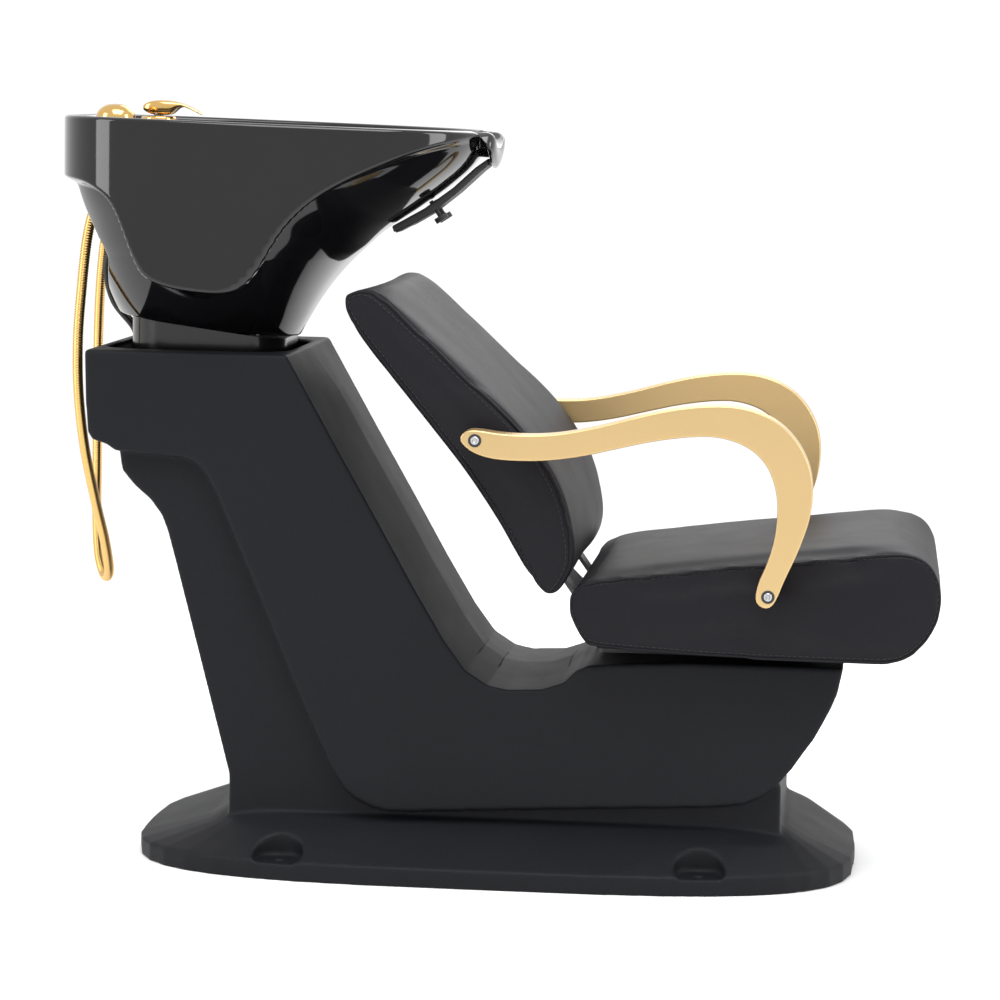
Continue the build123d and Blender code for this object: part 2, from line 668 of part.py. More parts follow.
with BuildPart() as bowl:
    for z, ring in bowl_rings(BOWL_OUTER, rear_rise=250, front_rise=500):
        with BuildSketch(level(z)):
            with BuildLine():
                Polyline(*ring, close=True)
            make_face()
    loft(ruled=True)
    add(skirt.part)
    for z, ring in bowl_rings(BOWL_INNER, rear_rise=240, front_rise=420):
        with BuildSketch(level(z)):
            with BuildLine():
                Polyline(*ring, close=True)
            make_face()
    loft(ruled=True, mode=Mode.SUBTRACT)
    # recessed tap deck behind the basin
    with BuildSketch(level(DECK_Z)):
        with BuildLine():
            Polyline(*bowl_ring(-574, -380, 212, wide=-470, rear_square=3.4, front_square=6),
                     close=True)
        make_face()
    extrude(amount=60, mode=Mode.SUBTRACT)
    # hollow under the tap deck for the shanks and hoses
    with BuildSketch(Plane.XZ):
        with BuildLine():
            Polyline((-573, 880), (-573, 964), (-462, 964), (-467, 925), (-484, 895),
                     (-500, 880), close=True)
        make_face()
    extrude(amount=178, both=True, mode=Mode.SUBTRACT)
    # narrower cut below it, open to the rear
    with BuildSketch(Plane.XZ):
        with BuildLine():
            Polyline((-600, 700), (-600, 906), (-573, 906), (-500, 906), (-500, 880),
                     (-520, 830), (-534, 780), (-545, 745), (-560, 700), close=True)
        make_face()
    extrude(amount=120, both=True, mode=Mode.SUBTRACT)
    # rim trimmed to its sloping plane
    with BuildSketch(RIM):
        Rectangle(900, 700)
    extrude(amount=80, mode=Mode.SUBTRACT)
    # neck cradle
    with BuildSketch(Plane.YZ.offset(-110)):
        with Locations((0, NECK_AXIS_Z)):
            Circle(108)
    extrude(amount=120, mode=Mode.SUBTRACT)
    # foot trimmed to the tilted seating plane, recess for the tilt plate
    with BuildSketch(FOOT):
        Rectangle(400, 400)
    extrude(amount=-60, mode=Mode.SUBTRACT)
    with BuildSketch(level(680, (FOOT_X, 0))):
        Circle(88)
    extrude(amount=71, mode=Mode.SUBTRACT)
    # drain and bolt holes
    with BuildSketch(level(740)):
        with Locations(DRAIN):
            Circle(22)
        with Locations(*BOWL_BOLTS):
            Circle(4.1)
    extrude(amount=25, mode=Mode.SUBTRACT)
    with BuildSketch(level(755, DRAIN)):
        Circle(22)
    extrude(amount=40, mode=Mode.SUBTRACT)
    # deck holes for mixer and handset sleeve
    with BuildSketch(level(955)):
        with Locations(MIXER):
            Circle(13)
        with Locations(HANDSET):
            Circle(18)
    extrude(amount=30, mode=Mode.SUBTRACT)
    # holes for the studs of the neck-rest carrier
    for y in (-22, 22):
        with BuildSketch(Plane(origin=(-92, y, 885), x_dir=(0, 1, 0), z_dir=(0.55, 0, -0.835))):
            Circle(3.1)
        extrude(amount=30, both=True, mode=Mode.SUBTRACT)
save(bowl, "bowl")

with BuildPart() as bowl_collar:
    with BuildSketch(level(668, (FOOT_X - 1, 0))):
        RectangleRounded(212, 212, 62)
        RectangleRounded(204, 204, 58, mode=Mode.SUBTRACT)
    extrude(amount=80)
    with BuildSketch(FOOT.offset(-1.2)):
        Rectangle(400, 400)
    extrude(amount=80, mode=Mode.SUBTRACT)
    # inward lip under the foot of the bowl
    with BuildSketch(FOOT.offset(-4.4)):
        RectangleRounded(206, 206, 60)
        Circle(80, mode=Mode.SUBTRACT)
    extrude(amount=3)
    with BuildSketch(FOOT.offset(-10)):
        with GridLocations(*COLLAR_SCREW_GRID):
            Circle(2.6)
    extrude(amount=12, mode=Mode.SUBTRACT)
save(bowl_collar, "bowl_collar")

# Gasket and yoke plate share one plan.
TILT_PLATE_R = 84
DRAIN_CLEARANCE_R = 34
PLATE_BOLT_HOLE_R = 4.6
with BuildPart() as bowl_gasket:
    with BuildSketch(level(748)):
        with Locations((FOOT_X, 0)):
            Circle(TILT_PLATE_R)
        with Locations(DRAIN):
            Circle(DRAIN_CLEARANCE_R, mode=Mode.SUBTRACT)
        with Locations(*BOWL_BOLTS):
            Circle(PLATE_BOLT_HOLE_R, mode=Mode.SUBTRACT)
    extrude(amount=2.8)
save(bowl_gasket, "bowl_gasket")

with BuildPart() as tilt_yoke:
    with BuildSketch(level(741.8)):
        with Locations((FOOT_X, 0)):
            Circle(TILT_PLATE_R)
        with Locations(DRAIN):
            Circle(DRAIN_CLEARANCE_R, mode=Mode.SUBTRACT)
        with Locations(*BOWL_BOLTS):
            Circle(PLATE_BOLT_HOLE_R, mode=Mode.SUBTRACT)
    extrude(amount=6)
    # cheeks
    for side in SIDES:
        with BuildSketch(upright(0, side * CHEEK_INNER_Y, 0, -1)):
            with BuildLine():
                Polyline((-433, 743), (-353, 743), (-371, 628), (-382, 620), (-404, 620),
                         (-415, 628), close=True)
            make_face()
        extrude(amount=-side * CHEEK_T)
    with BuildSketch(Plane.XZ.offset(-90)):
        with Locations(PIVOT):
            Circle(BUSH_R + 0.02)
    extrude(amount=180, mode=Mode.SUBTRACT)
save(tilt_yoke, "tilt_yoke")

CHEEK_OUTER_Y = CHEEK_INNER_Y + CHEEK_T
# Start Y, outer radius, length: sleeve, outer flange, neck joining the two
BUSH_STEPS = (
    (CHEEK_INNER_Y, BUSH_R, CHEEK_T),
    (CHEEK_OUTER_Y + 0.1, 16.0, 3),
    (CHEEK_OUTER_Y - 1, BUSH_R, 2))
with BuildPart() as tilt_bushes:
    for side in SIDES:
        for y, radius, length in BUSH_STEPS:
            with BuildSketch(upright(PIVOT[0], side * y, PIVOT[1], side)):
                Circle(radius)
                Circle(BUSH_BORE_R, mode=Mode.SUBTRACT)
            extrude(amount=length)
save(tilt_bushes, "tilt_bushes")

with BuildPart() as bowl_bolts:
    for spot in BOWL_BOLTS:
        with BuildSketch(level(736, spot)):
            RegularPolygon(7.5, 6)
        extrude(amount=5.6)
        with BuildSketch(level(736, spot)):
            Circle(4.0)
        extrude(amount=27)
save(bowl_bolts, "bowl_bolts")

with BuildPart() as collar_screws:
    # heads, then shanks: radius, length
    for radius, length in ((4.5, 2.6), (2.4, 6.4)):
        with BuildSketch(FOOT.offset(-7.2)):
            with GridLocations(*COLLAR_SCREW_GRID):
                Circle(radius)
        extrude(amount=length)
save(collar_screws, "collar_screws")

# ================================================================ DRAIN
# Flanged body through the basin floor, nut below, tailpiece and hose.
DRAIN_BODY_R = 21
DRAIN_NUT_BORE_R = 21.1
with BuildPart() as drain_body:
    # Z, radius, height: flange and barrel, then bore and strainer seat
    for z, radius, height, mode in (
            (772.4, 32, 2.5, Mode.ADD), (724, DRAIN_BODY_R, 49, Mode.ADD),
            (720, 18, 42, Mode.SUBTRACT), (759, 19, 30, Mode.SUBTRACT)):
        with BuildSketch(level(z, DRAIN)):
            Circle(radius)
        extrude(amount=height, mode=mode)
save(drain_body, "drain_body")

with BuildPart() as drain_nut:
    with BuildSketch(level(737.0, DRAIN)):
        RegularPolygon(31, 6)
        Circle(DRAIN_NUT_BORE_R, mode=Mode.SUBTRACT)
    extrude(amount=13.5)
save(drain_nut, "drain_nut")

with BuildPart() as drain_tailpiece:
    with BuildSketch(level(560, DRAIN)):
        Circle(17.8)
        Circle(15.5, mode=Mode.SUBTRACT)
    extrude(amount=180)
save(drain_tailpiece, "drain_tailpiece")

with BuildPart() as slip_nut:
    with BuildSketch(level(708, DRAIN)):
        RegularPolygon(27, 8)
        Circle(DRAIN_NUT_BORE_R, mode=Mode.SUBTRACT)
    extrude(amount=24)
    # lower collar that closes in on the tailpiece
    with BuildSketch(level(708, DRAIN)):
        Circle(21.5)
        Circle(17.9, mode=Mode.SUBTRACT)
    extrude(amount=10)
save(slip_nut, "slip_nut")

save(hose(WASTE_PATH, radius=20.5, facets=14), "waste_hose")

# Perforated hair strainer that lifts out of the drain.
with BuildPart() as strainer:
    # flange and plug: Z, radius, height
    for z, radius, height in ((775.2, 29, 2.2), (764, 18.6, 12)):
        with BuildSketch(level(z, DRAIN)):
            Circle(radius)
        extrude(amount=height)
    with BuildSketch(level(762, DRAIN)):
        with PolarLocations(12.5, 10):
            Circle(2.2)
        with PolarLocations(6, 5):
            Circle(1.8)
    extrude(amount=20, mode=Mode.SUBTRACT)
    # stem and knob
    for z, radius, height in ((777, 3.4, 9), (786, 6, 4)):
        with BuildSketch(level(z, DRAIN)):
            Circle(radius)
        extrude(amount=height)
save(strainer, "strainer")

# ================================================================ MIXER TAP
MIXER_BODY_R = 24
SHANK_R = 12
MIXER_BASE_Z = DECK_Z + 1.4      # on top of the gasket
LEVER_PIN_Z = DECK_Z + 26.5
with BuildPart() as mixer_body:
    # Z, radius, height: base flange, barrel, shank, cartridge bore
    for z, radius, height, mode in (
            (MIXER_BASE_Z, 29, 4, Mode.ADD), (MIXER_BASE_Z, MIXER_BODY_R, 20.5, Mode.ADD),
            (925, SHANK_R, 55, Mode.ADD), (DECK_Z + 6, 17.5, 30, Mode.SUBTRACT)):
        with BuildSketch(level(z, MIXER)):
            Circle(radius)
        extrude(amount=height, mode=mode)
save(mixer_body, "mixer_body")

with BuildPart() as mixer_gasket:
    with BuildSketch(level(DECK_Z + 0.1, MIXER)):
        Circle(27)
        Circle(SHANK_R + 0.4, mode=Mode.SUBTRACT)
    extrude(amount=1.2)
save(mixer_gasket, "mixer_gasket")

with BuildPart() as mixer_nut:
    with BuildSketch(level(951.5, MIXER)):
        RegularPolygon(20, 6)
        Circle(SHANK_R + 0.05, mode=Mode.SUBTRACT)
    extrude(amount=12)
save(mixer_nut, "mixer_nut")

# Ceramic cartridge turns inside the body; its stem carries the lever.
with BuildPart() as mixer_cartridge:
    with BuildSketch(level(DECK_Z + 6.5, MIXER)):
        Circle(17.44)
    extrude(amount=15)
    with BuildSketch(level(DECK_Z + 21, MIXER)):
        Rectangle(12, 9)
    extrude(amount=10)
    with BuildSketch(Plane.XZ.offset(-MIXER[1] - 20)):
        with Locations((MIXER[0], LEVER_PIN_Z)):
            Circle(2.05)
    extrude(amount=40, mode=Mode.SUBTRACT)
save(mixer_cartridge, "mixer_cartridge")

with BuildPart() as mixer_lever:
    with BuildSketch(Plane.XZ.offset(-MIXER[1] - 20)):
        with BuildLine():
            Polyline((-486, 999.2), (-505, 1007.5), (-504, 1012), (-497, 1018.5),
                     (-484, 1020.5), (-466, 1019.8), (-448, 1015.5), (-434, 1009),
                     (-421, 1000.5), (-421.5, 998.6), (-436, 1006), (-450, 1011),
                     (-460, 1008), (-463, 999.2), close=True)
        make_face()
    extrude(amount=40)
    # socket around the stem, with room for the lift
    with BuildSketch(level(995, MIXER)):
        Rectangle(22, 11)
    extrude(amount=18, mode=Mode.SUBTRACT)
    with BuildSketch(Plane.XZ.offset(-MIXER[1] - 21)):
        with Locations((MIXER[0], LEVER_PIN_Z)):
            Circle(2.0)
    extrude(amount=42, mode=Mode.SUBTRACT)
save(mixer_lever, "mixer_lever")

with BuildPart() as lever_pin:
    with BuildSketch(Plane.XZ.offset(-MIXER[1] - 18)):
        with Locations((MIXER[0], LEVER_PIN_Z)):
            Circle(1.99)
    extrude(amount=36)
save(lever_pin, "lever_pin")

# Round marker on the front of the mixer body.
with BuildPart() as mixer_marker:
    with BuildSketch(Plane(origin=(MIXER[0] + MIXER_BODY_R + 0.1, MIXER[1], DECK_Z + 15),
                           x_dir=(0, 1, 0), z_dir=(1, 0, 0))):
        Circle(3.2)
    extrude(amount=1.4)
save(mixer_marker, "mixer_marker")

# ================================================================ HAND SHOWER
with BuildPart() as handset_sleeve:
    # deck flange and tube: Z, outer radius, height
    for z, radius, height in ((DECK_Z + 0.2, 24, 4), (948, 17.8, 30)):
        with BuildSketch(level(z, HANDSET)):
            Circle(radius)
            Circle(15.2, mode=Mode.SUBTRACT)
        extrude(amount=height)
save(handset_sleeve, "handset_sleeve")

with BuildPart() as handset:
    with BuildSketch(Plane.XZ.offset(-HANDSET[1])):
        with BuildLine():
            Polyline(*[(HANDSET[0] + radius, z) for radius, z in HANDSET_PROFILE], close=True)
        make_face()
    revolve(axis=Axis((HANDSET[0], HANDSET[1], 0), (0, 0, 1)))
save(handset, "handset")

save(hose(SHOWER_PATH, radius=7.2, facets=10), "shower_hose")

# Elbow that feeds the shower hose from the mixer's outlet.
with BuildPart() as hose_elbow:
    with BuildSketch(level(926, HOSE_OUTLET)):
        Circle(8.5)
    extrude(amount=26)
    with BuildSketch(Plane(origin=(*HOSE_OUTLET, 944), x_dir=(0, 0, 1),
                           z_dir=(0.701, -0.713, 0))):
        Circle(6)
    extrude(amount=62)
save(hose_elbow, "hose_elbow")

# Supply hoses: name, Y at the mixer, Y at the floor
for name, top_y, bottom_y in (("supply_hose_hot", 21, 38), ("supply_hose_cold", 35, 93)):
    supply_path = ([(x, top_y + y, z) for x, y, z in SUPPLY_UPPER]
                   + [(x, bottom_y + y, z) for x, y, z in SUPPLY_LOWER])
    save(hose(supply_path, radius=4.8, facets=8), name)

# ================================================================ NECK REST
ARC_START = 228     # degrees; the arc is centred on straight down
ARC_SPAN = 84
with BuildPart() as neck_rest:
    # pad, then its front lip: rear X, outer radius, inner radius, length
    for x, outer, inner, length in ((-60, 107.4, 88, 46), (-17, 124, 89, 10)):
        with BuildSketch(Plane.YZ.offset(x)):
            with BuildLine():
                outer_arc = CenterArc((0, NECK_AXIS_Z), outer, ARC_START, ARC_SPAN)
                inner_arc = CenterArc((0, NECK_AXIS_Z), inner, ARC_START, ARC_SPAN)
                Line(outer_arc @ 0, inner_arc @ 0)
                Line(outer_arc @ 1, inner_arc @ 1)
            make_face()
        extrude(amount=length)
save(neck_rest, "neck_rest")

with BuildPart() as neck_carrier:
    with BuildSketch(Plane.XZ.offset(-36)):
        with BuildLine():
            Polyline((-150, 856), (-106, 881), (-67, 910), (-38, 937), (-20, 950), (-20, 940),
                     (-30, 932), (-62, 902), (-98, 873), (-125, 857), (-147, 848), close=True)
        make_face()
    extrude(amount=72)
    # slots for the knob studs
    with BuildSketch(NECK_SLOPE):
        with Locations((-12, -22), (-12, 22)):
            SlotOverall(44, 10)
    extrude(amount=40, both=True, mode=Mode.SUBTRACT)
save(neck_carrier, "neck_carrier")

with BuildPart() as neck_knobs:
    for y in (-22, 22):
        # head, then stud: offset from the slope, radius, length
        for start, radius, length in ((11, 9.5, 7), (-12.6, 3.0, 24.6)):
            with BuildSketch(NECK_SLOPE.offset(start)):
                with Locations((0, y)):
                    Circle(radius)
            extrude(amount=length)
save(neck_knobs, "neck_knobs")
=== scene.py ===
# A salon wash chair: padded seat and back on a moulded body, swept arms, and behind the
# back a glazed wash bowl with tap, hand shower and neck rest.
# +X points to the front of the chair, +Y to the sitter's left, +Z up; the floor is at z = 0.
# Dimension tables and named sizes are in millimetres unless marked otherwise.
import json
import math
import bpy
import bmesh
import numpy as np
from mathutils import Vector, Matrix
from mathutils.bvhtree import BVHTree
from mathutils.kdtree import KDTree


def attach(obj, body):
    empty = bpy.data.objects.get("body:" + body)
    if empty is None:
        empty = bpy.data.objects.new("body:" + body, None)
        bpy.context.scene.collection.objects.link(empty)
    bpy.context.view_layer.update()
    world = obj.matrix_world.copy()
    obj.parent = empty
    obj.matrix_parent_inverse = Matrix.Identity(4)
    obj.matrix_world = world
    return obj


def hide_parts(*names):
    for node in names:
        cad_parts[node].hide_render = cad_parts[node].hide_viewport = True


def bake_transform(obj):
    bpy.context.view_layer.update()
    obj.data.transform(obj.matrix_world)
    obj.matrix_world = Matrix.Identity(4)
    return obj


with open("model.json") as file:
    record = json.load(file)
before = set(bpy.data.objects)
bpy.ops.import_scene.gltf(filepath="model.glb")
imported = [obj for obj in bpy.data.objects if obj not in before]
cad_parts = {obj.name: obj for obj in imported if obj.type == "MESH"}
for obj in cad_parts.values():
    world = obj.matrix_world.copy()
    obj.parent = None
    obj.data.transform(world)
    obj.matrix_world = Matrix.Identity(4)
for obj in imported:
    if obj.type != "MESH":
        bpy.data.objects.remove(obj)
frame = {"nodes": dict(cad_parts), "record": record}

MM = 0.001
NODES = frame["nodes"]
SLOT_OF = {part["node"]: part["material_slot"] for part in frame["record"]["subparts"]}

for stray in ("Cube", "Light", "Camera"):
    if stray in bpy.data.objects and stray not in NODES:
        bpy.data.objects.remove(bpy.data.objects[stray])
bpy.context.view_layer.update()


# ------------------------------------------------------------------ mesh helpers
def link(obj):
    bpy.context.scene.collection.objects.link(obj)
    return obj


def shade_smooth(mesh):
    mesh.polygons.foreach_set("use_smooth", [True] * len(mesh.polygons))


def mesh_obj(name, verts, faces, smooth=True):
    mesh = bpy.data.meshes.new(name)
    mesh.from_pydata([tuple(vert) for vert in verts], [], [tuple(face) for face in faces])
    mesh.update()
    if smooth:
        shade_smooth(mesh)
    return link(bpy.data.objects.new(name, mesh))


def evaluated_mesh(obj):
    depsgraph = bpy.context.evaluated_depsgraph_get()
    return bpy.data.meshes.new_from_object(obj.evaluated_get(depsgraph))


def apply_mods(obj):
    mesh = evaluated_mesh(obj)
    old = obj.data
    obj.modifiers.clear()
    obj.data = mesh
    bpy.data.meshes.remove(old)
    shade_smooth(mesh)


def vertex_array(obj, field="co"):
    """Vertex positions, or normals with field="normal", as an (n, 3) array."""
    values = np.empty(len(obj.data.vertices) * 3)
    obj.data.vertices.foreach_get(field, values)
    return values.reshape(-1, 3)


def move_vertices(obj, points):
    obj.data.vertices.foreach_set("co", points.ravel())
    obj.data.update()


def clean_mesh(mesh, merge=None, outward=True):
    """Join vertices closer than merge (metres) and turn the faces outwards."""
    bm = bmesh.new()
    bm.from_mesh(mesh)
    if merge:
        bmesh.ops.remove_doubles(bm, verts=bm.verts, dist=merge)
    if outward:
        bmesh.ops.recalc_face_normals(bm, faces=bm.faces)
    bm.to_mesh(mesh)
    bm.free()


def loft_faces(rings, sides, first=0, ends="cap"):
    """Quads between successive rings of vertices; ends is "cap", "join" or "open"."""
    faces = []
    for i in range(rings if ends == "join" else rings - 1):
        here, there = first + i * sides, first + (i + 1) % rings * sides
        for k in range(sides):
            after = (k + 1) % sides
            faces.append((here + k, here + after, there + after, there + k))
    if ends == "cap":
        last = first + (rings - 1) * sides
        faces.append(tuple(range(first, first + sides))[::-1])
        faces.append(tuple(range(last, last + sides)))
    return faces


def copy_node(node, name):
    """New object from a CAD node's solid."""
    obj = link(bpy.data.objects.new(name, NODES[node].data.copy()))
    obj.data.materials.clear()
    clean_mesh(obj.data, merge=0.00001, outward=False)
    return obj


def add_remesh(obj, voxel):
    mod = obj.modifiers.new("remesh", "REMESH")
    mod.mode = "VOXEL"
    mod.voxel_size = voxel


def add_smooth(obj, rounds):
    mod = obj.modifiers.new("smooth", "SMOOTH")
    mod.factor = 0.5
    mod.iterations = rounds


def add_subdivision(obj, levels):
    obj.modifiers.new("subdivision", "SUBSURF").levels = levels


def soften(obj, voxel, rounds):
    add_remesh(obj, voxel)
    add_smooth(obj, rounds)
    apply_mods(obj)


# ------------------------------------------------------------------ outlines and paths
def angles(count):
    return np.arange(count) * 2 * np.pi / count


def run_lengths(points):
    """Distance along a path at each of its points."""
    steps = np.linalg.norm(np.diff(points, axis=0), axis=1)
    return np.concatenate([[0], np.cumsum(steps)])


def points_at(points, lengths, where):
    columns = range(points.shape[1])
    return np.stack([np.interp(where, lengths, points[:, k]) for k in columns], 1)


def closed_loop(points):
    return np.vstack([points, points[:1]])


def smooth_closed(points, count, rounds=2):
    """Closed outline resampled evenly to count points, corners rounded a little."""
    outline = np.array(points, float)
    for _ in range(rounds):
        after = np.roll(outline, -1, 0)
        pairs = [outline * 0.75 + after * 0.25, outline * 0.25 + after * 0.75]
        outline = np.stack(pairs, 1).reshape(-1, 2)
    loop = closed_loop(outline)
    lengths = run_lengths(loop)
    return points_at(loop, lengths, np.linspace(0, lengths[-1], count, endpoint=False))


def inset(outline, distance):
    """Closed outline moved inwards."""
    after = np.roll(outline, -1, 0)
    along = after - np.roll(outline, 1, 0)
    along /= np.linalg.norm(along, axis=1)[:, None] + 1e-9
    normal = np.stack([-along[:, 1], along[:, 0]], 1)
    area = np.sum(outline[:, 0] * after[:, 1] - after[:, 0] * outline[:, 1])
    return outline + normal * (distance if area > 0 else -distance)


def spline(points, step):
    """Catmull-Rom curve through points, resampled to an even step."""
    knots = np.array(points, float)
    knots = np.vstack([2 * knots[0] - knots[1], knots, 2 * knots[-1] - knots[-2]])
    curve = []
    for i in range(1, len(knots) - 2):
        before, start, end, after = knots[i - 1:i + 3]
        for t in np.linspace(0, 1, 24, endpoint=False):
            curve.append(0.5 * ((2 * start) + (-before + end) * t
                                + (2 * before - 5 * start + 4 * end - after) * t ** 2
                                + (-before + 3 * start - 3 * end + after) * t ** 3))
    curve.append(knots[-2])
    curve = np.array(curve)
    lengths = run_lengths(curve)
    count = int(lengths[-1] / step)
    return points_at(curve, lengths, np.linspace(0, lengths[-1], count))


def tube(name, path, radius, sides, closed=False):
    """Round tube on a frame that turns as little as it can; path and radius in metres.

    radius is one number or one per path point."""
    count = len(path)
    if closed:
        along = np.roll(path, -1, 0) - np.roll(path, 1, 0)
    else:
        along = np.gradient(path, axis=0)
    along /= np.linalg.norm(along, axis=1)[:, None]
    across = np.cross(along[0], [0, 0, 1.0])
    if np.linalg.norm(across) < 1e-3:
        across = np.cross(along[0], [0, 1.0, 0])
    across /= np.linalg.norm(across)
    turn = angles(sides)
    cosines, sines = np.cos(turn)[:, None], np.sin(turn)[:, None]
    radii = np.broadcast_to(radius, count)
    verts = []
    for i in range(count):
        across = across - along[i] * np.dot(across, along[i])
        across /= np.linalg.norm(across)
        third = np.cross(along[i], across)
        verts += list(path[i] + radii[i] * (cosines * across + sines * third))
    return mesh_obj(name, verts, loft_faces(count, sides, ends="join" if closed else "cap"))


# ------------------------------------------------------------------ materials
def noise_range(tree, coords, scale, detail, low, high):
    """Noise texture mapped to the range low to high."""
    noise = tree.nodes.new("ShaderNodeTexNoise")
    noise.inputs["Scale"].default_value = scale
    noise.inputs["Detail"].default_value = detail
    tree.links.new(coords, noise.inputs["Vector"])
    remap = tree.nodes.new("ShaderNodeMapRange")
    remap.inputs["To Min"].default_value = low
    remap.inputs["To Max"].default_value = high
    tree.links.new(noise.outputs["Fac"], remap.inputs["Value"])
    return remap.outputs["Result"]


def painted_edge_highlight(tree, colour, edge):
    """Painted highlight: mix a lighter edge colour in where the surface is sharply convex."""
    geometry = tree.nodes.new("ShaderNodeNewGeometry")
    remap = tree.nodes.new("ShaderNodeMapRange")
    remap.inputs["From Min"].default_value = 0.51
    remap.inputs["From Max"].default_value = 0.58
    tree.links.new(geometry.outputs["Pointiness"], remap.inputs["Value"])
    mix = tree.nodes.new("ShaderNodeMix")
    mix.data_type = "RGBA"
    tree.links.new(remap.outputs["Result"], mix.inputs["Factor"])
    tree.links.new(colour, mix.inputs["A"])
    mix.inputs["B"].default_value = (*edge, 1)
    return mix.outputs["Result"]


def bump_layer(tree, coords, scale, strength, kind, below):
    """Bump from noise or voronoi cell borders, laid over the normal below."""
    if kind == "voronoi":
        texture = tree.nodes.new("ShaderNodeTexVoronoi")
        texture.feature = "DISTANCE_TO_EDGE"
        height = texture.outputs["Distance"]
    else:
        texture = tree.nodes.new("ShaderNodeTexNoise")
        texture.inputs["Detail"].default_value = 3
        height = texture.outputs["Fac"]
    texture.inputs["Scale"].default_value = scale
    tree.links.new(coords, texture.inputs["Vector"])
    bump = tree.nodes.new("ShaderNodeBump")
    bump.inputs["Strength"].default_value = strength
    bump.inputs["Distance"].default_value = 0.001
    tree.links.new(height, bump.inputs["Height"])
    if below:
        tree.links.new(below, bump.inputs["Normal"])
    return bump.outputs["Normal"]


def material(name, base, rough, metal=0.0, coat=0.0, spec=0.5, noise=(), bump=(),
             rough_var=0.0, edge=None):
    """Principled material.

    noise: (scale, share by which the colour varies); bump: (scale, strength, kind); rough_var:
    how far the roughness strays either way; edge: lighter colour painted on sharply convex
    edges as a highlight."""
    mat = bpy.data.materials.new(name)
    mat.use_nodes = True
    tree = mat.node_tree
    inputs = tree.nodes["Principled BSDF"].inputs
    for key, value in (("Base Color", (*base, 1)), ("Roughness", rough), ("Metallic", metal),
                       ("Coat Weight", coat), ("Coat Roughness", 0.05),
                       ("Specular IOR Level", spec)):
        inputs[key].default_value = value
    coords = tree.nodes.new("ShaderNodeTexCoord").outputs["Object"]

    colour = None
    for scale, amount in noise:
        vary = noise_range(tree, coords, scale, detail=4, low=1 - amount, high=1 + amount)
        tint = tree.nodes.new("ShaderNodeVectorMath")
        tint.operation = "SCALE"
        if colour is None:
            tint.inputs[0].default_value = base
        else:
            tree.links.new(colour, tint.inputs[0])
        tree.links.new(vary, tint.inputs["Scale"])
        colour = tint.outputs["Vector"]
    # painted highlight: lighter colour on sharply convex edges
    if edge:
        colour = painted_edge_highlight(tree, colour, edge)
    tree.links.new(colour, inputs["Base Color"])

    if rough_var:
        vary = noise_range(tree, coords, scale=14.0, detail=5,
                           low=rough - rough_var, high=rough + rough_var)
        tree.links.new(vary, inputs["Roughness"])

    normal = None
    for scale, strength, kind in bump:
        normal = bump_layer(tree, coords, scale, strength, kind, below=normal)
    if normal:
        tree.links.new(normal, inputs["Normal"])
    return mat


# keyed by material slot; "thread" is the one extra, used for stitches
MATERIALS = {
    "body_plastic": material(
        "moulded_satin", base=(0.0072, 0.0076, 0.0094), rough=0.52, spec=0.13, rough_var=0.07,
        noise=[(5, 0.10), (240, 0.16)], bump=[(520, 0.34, "noise"), (1300, 0.25, "noise")]),
    "leatherette": material(
        "black_leatherette", base=(0.0082, 0.0078, 0.0100), rough=0.50, spec=0.12,
        rough_var=0.06, noise=[(6, 0.12), (170, 0.10)],
        bump=[(420, 0.30, "voronoi"), (900, 0.22, "noise"), (22, 0.25, "noise")]),
    "thread": material(
        "black_thread", base=(0.006, 0.006, 0.007), rough=0.7,
        noise=[(700, 0.3)], bump=[(2500, 0.4, "noise")]),
    "gold_satin": material(
        "champagne_gold", base=(0.57, 0.405, 0.195), rough=0.34, metal=0.8, rough_var=0.05,
        noise=[(9, 0.03), (900, 0.05)], bump=[(2600, 0.05, "noise")]),
    "gold_polished": material(
        "polished_gold", base=(0.68, 0.43, 0.15), rough=0.14, metal=1.0, rough_var=0.04,
        noise=[(30, 0.04)], bump=[(60, 0.02, "noise")]),
    "glazed_black": material(
        "black_glaze", base=(0.0032, 0.0032, 0.0038), rough=0.07, coat=0.22, spec=0.36,
        rough_var=0.02, noise=[(20, 0.2)], bump=[(9, 0.012, "noise")]),
    "gloss_black": material(
        "gloss_plastic", base=(0.0045, 0.0045, 0.005), rough=0.16, coat=0.2, rough_var=0.03,
        noise=[(25, 0.2)], bump=[(300, 0.02, "noise")]),
    "gel_black": material(
        "black_gel", base=(0.004, 0.004, 0.0045), rough=0.14, coat=0.3, rough_var=0.04,
        noise=[(40, 0.2)], bump=[(90, 0.05, "noise")]),
    "rubber_black": material(
        "black_rubber", base=(0.012, 0.012, 0.013), rough=0.55, rough_var=0.08,
        noise=[(80, 0.15)], bump=[(900, 0.2, "noise")]),
    # edge colour: painted highlight along the sharply convex edges
    "steel_painted": material(
        "painted_steel", base=(0.016, 0.016, 0.018), rough=0.45, rough_var=0.06,
        noise=[(60, 0.15)], bump=[(700, 0.15, "noise")], edge=(0.05, 0.05, 0.055)),
    "steel": material(
        "zinc_steel", base=(0.46, 0.46, 0.47), rough=0.32, metal=1.0, rough_var=0.08,
        noise=[(120, 0.12)], bump=[(900, 0.08, "noise")]),
    "chrome": material(
        "chrome", base=(0.78, 0.78, 0.8), rough=0.08, metal=1.0, rough_var=0.03,
        noise=[(50, 0.03)]),
    "plywood": material(
        "plywood", base=(0.50, 0.34, 0.19), rough=0.7, rough_var=0.1,
        noise=[(12, 0.25), (150, 0.2)], bump=[(300, 0.2, "noise")]),
    "nylon": material(
        "nylon", base=(0.60, 0.59, 0.55), rough=0.5, rough_var=0.05,
        noise=[(50, 0.06)], bump=[(500, 0.1, "noise")]),
    "marker_red": material(
        "marker_red", base=(0.62, 0.012, 0.012), rough=0.25, coat=0.4, rough_var=0.05,
        noise=[(100, 0.1)]),
}
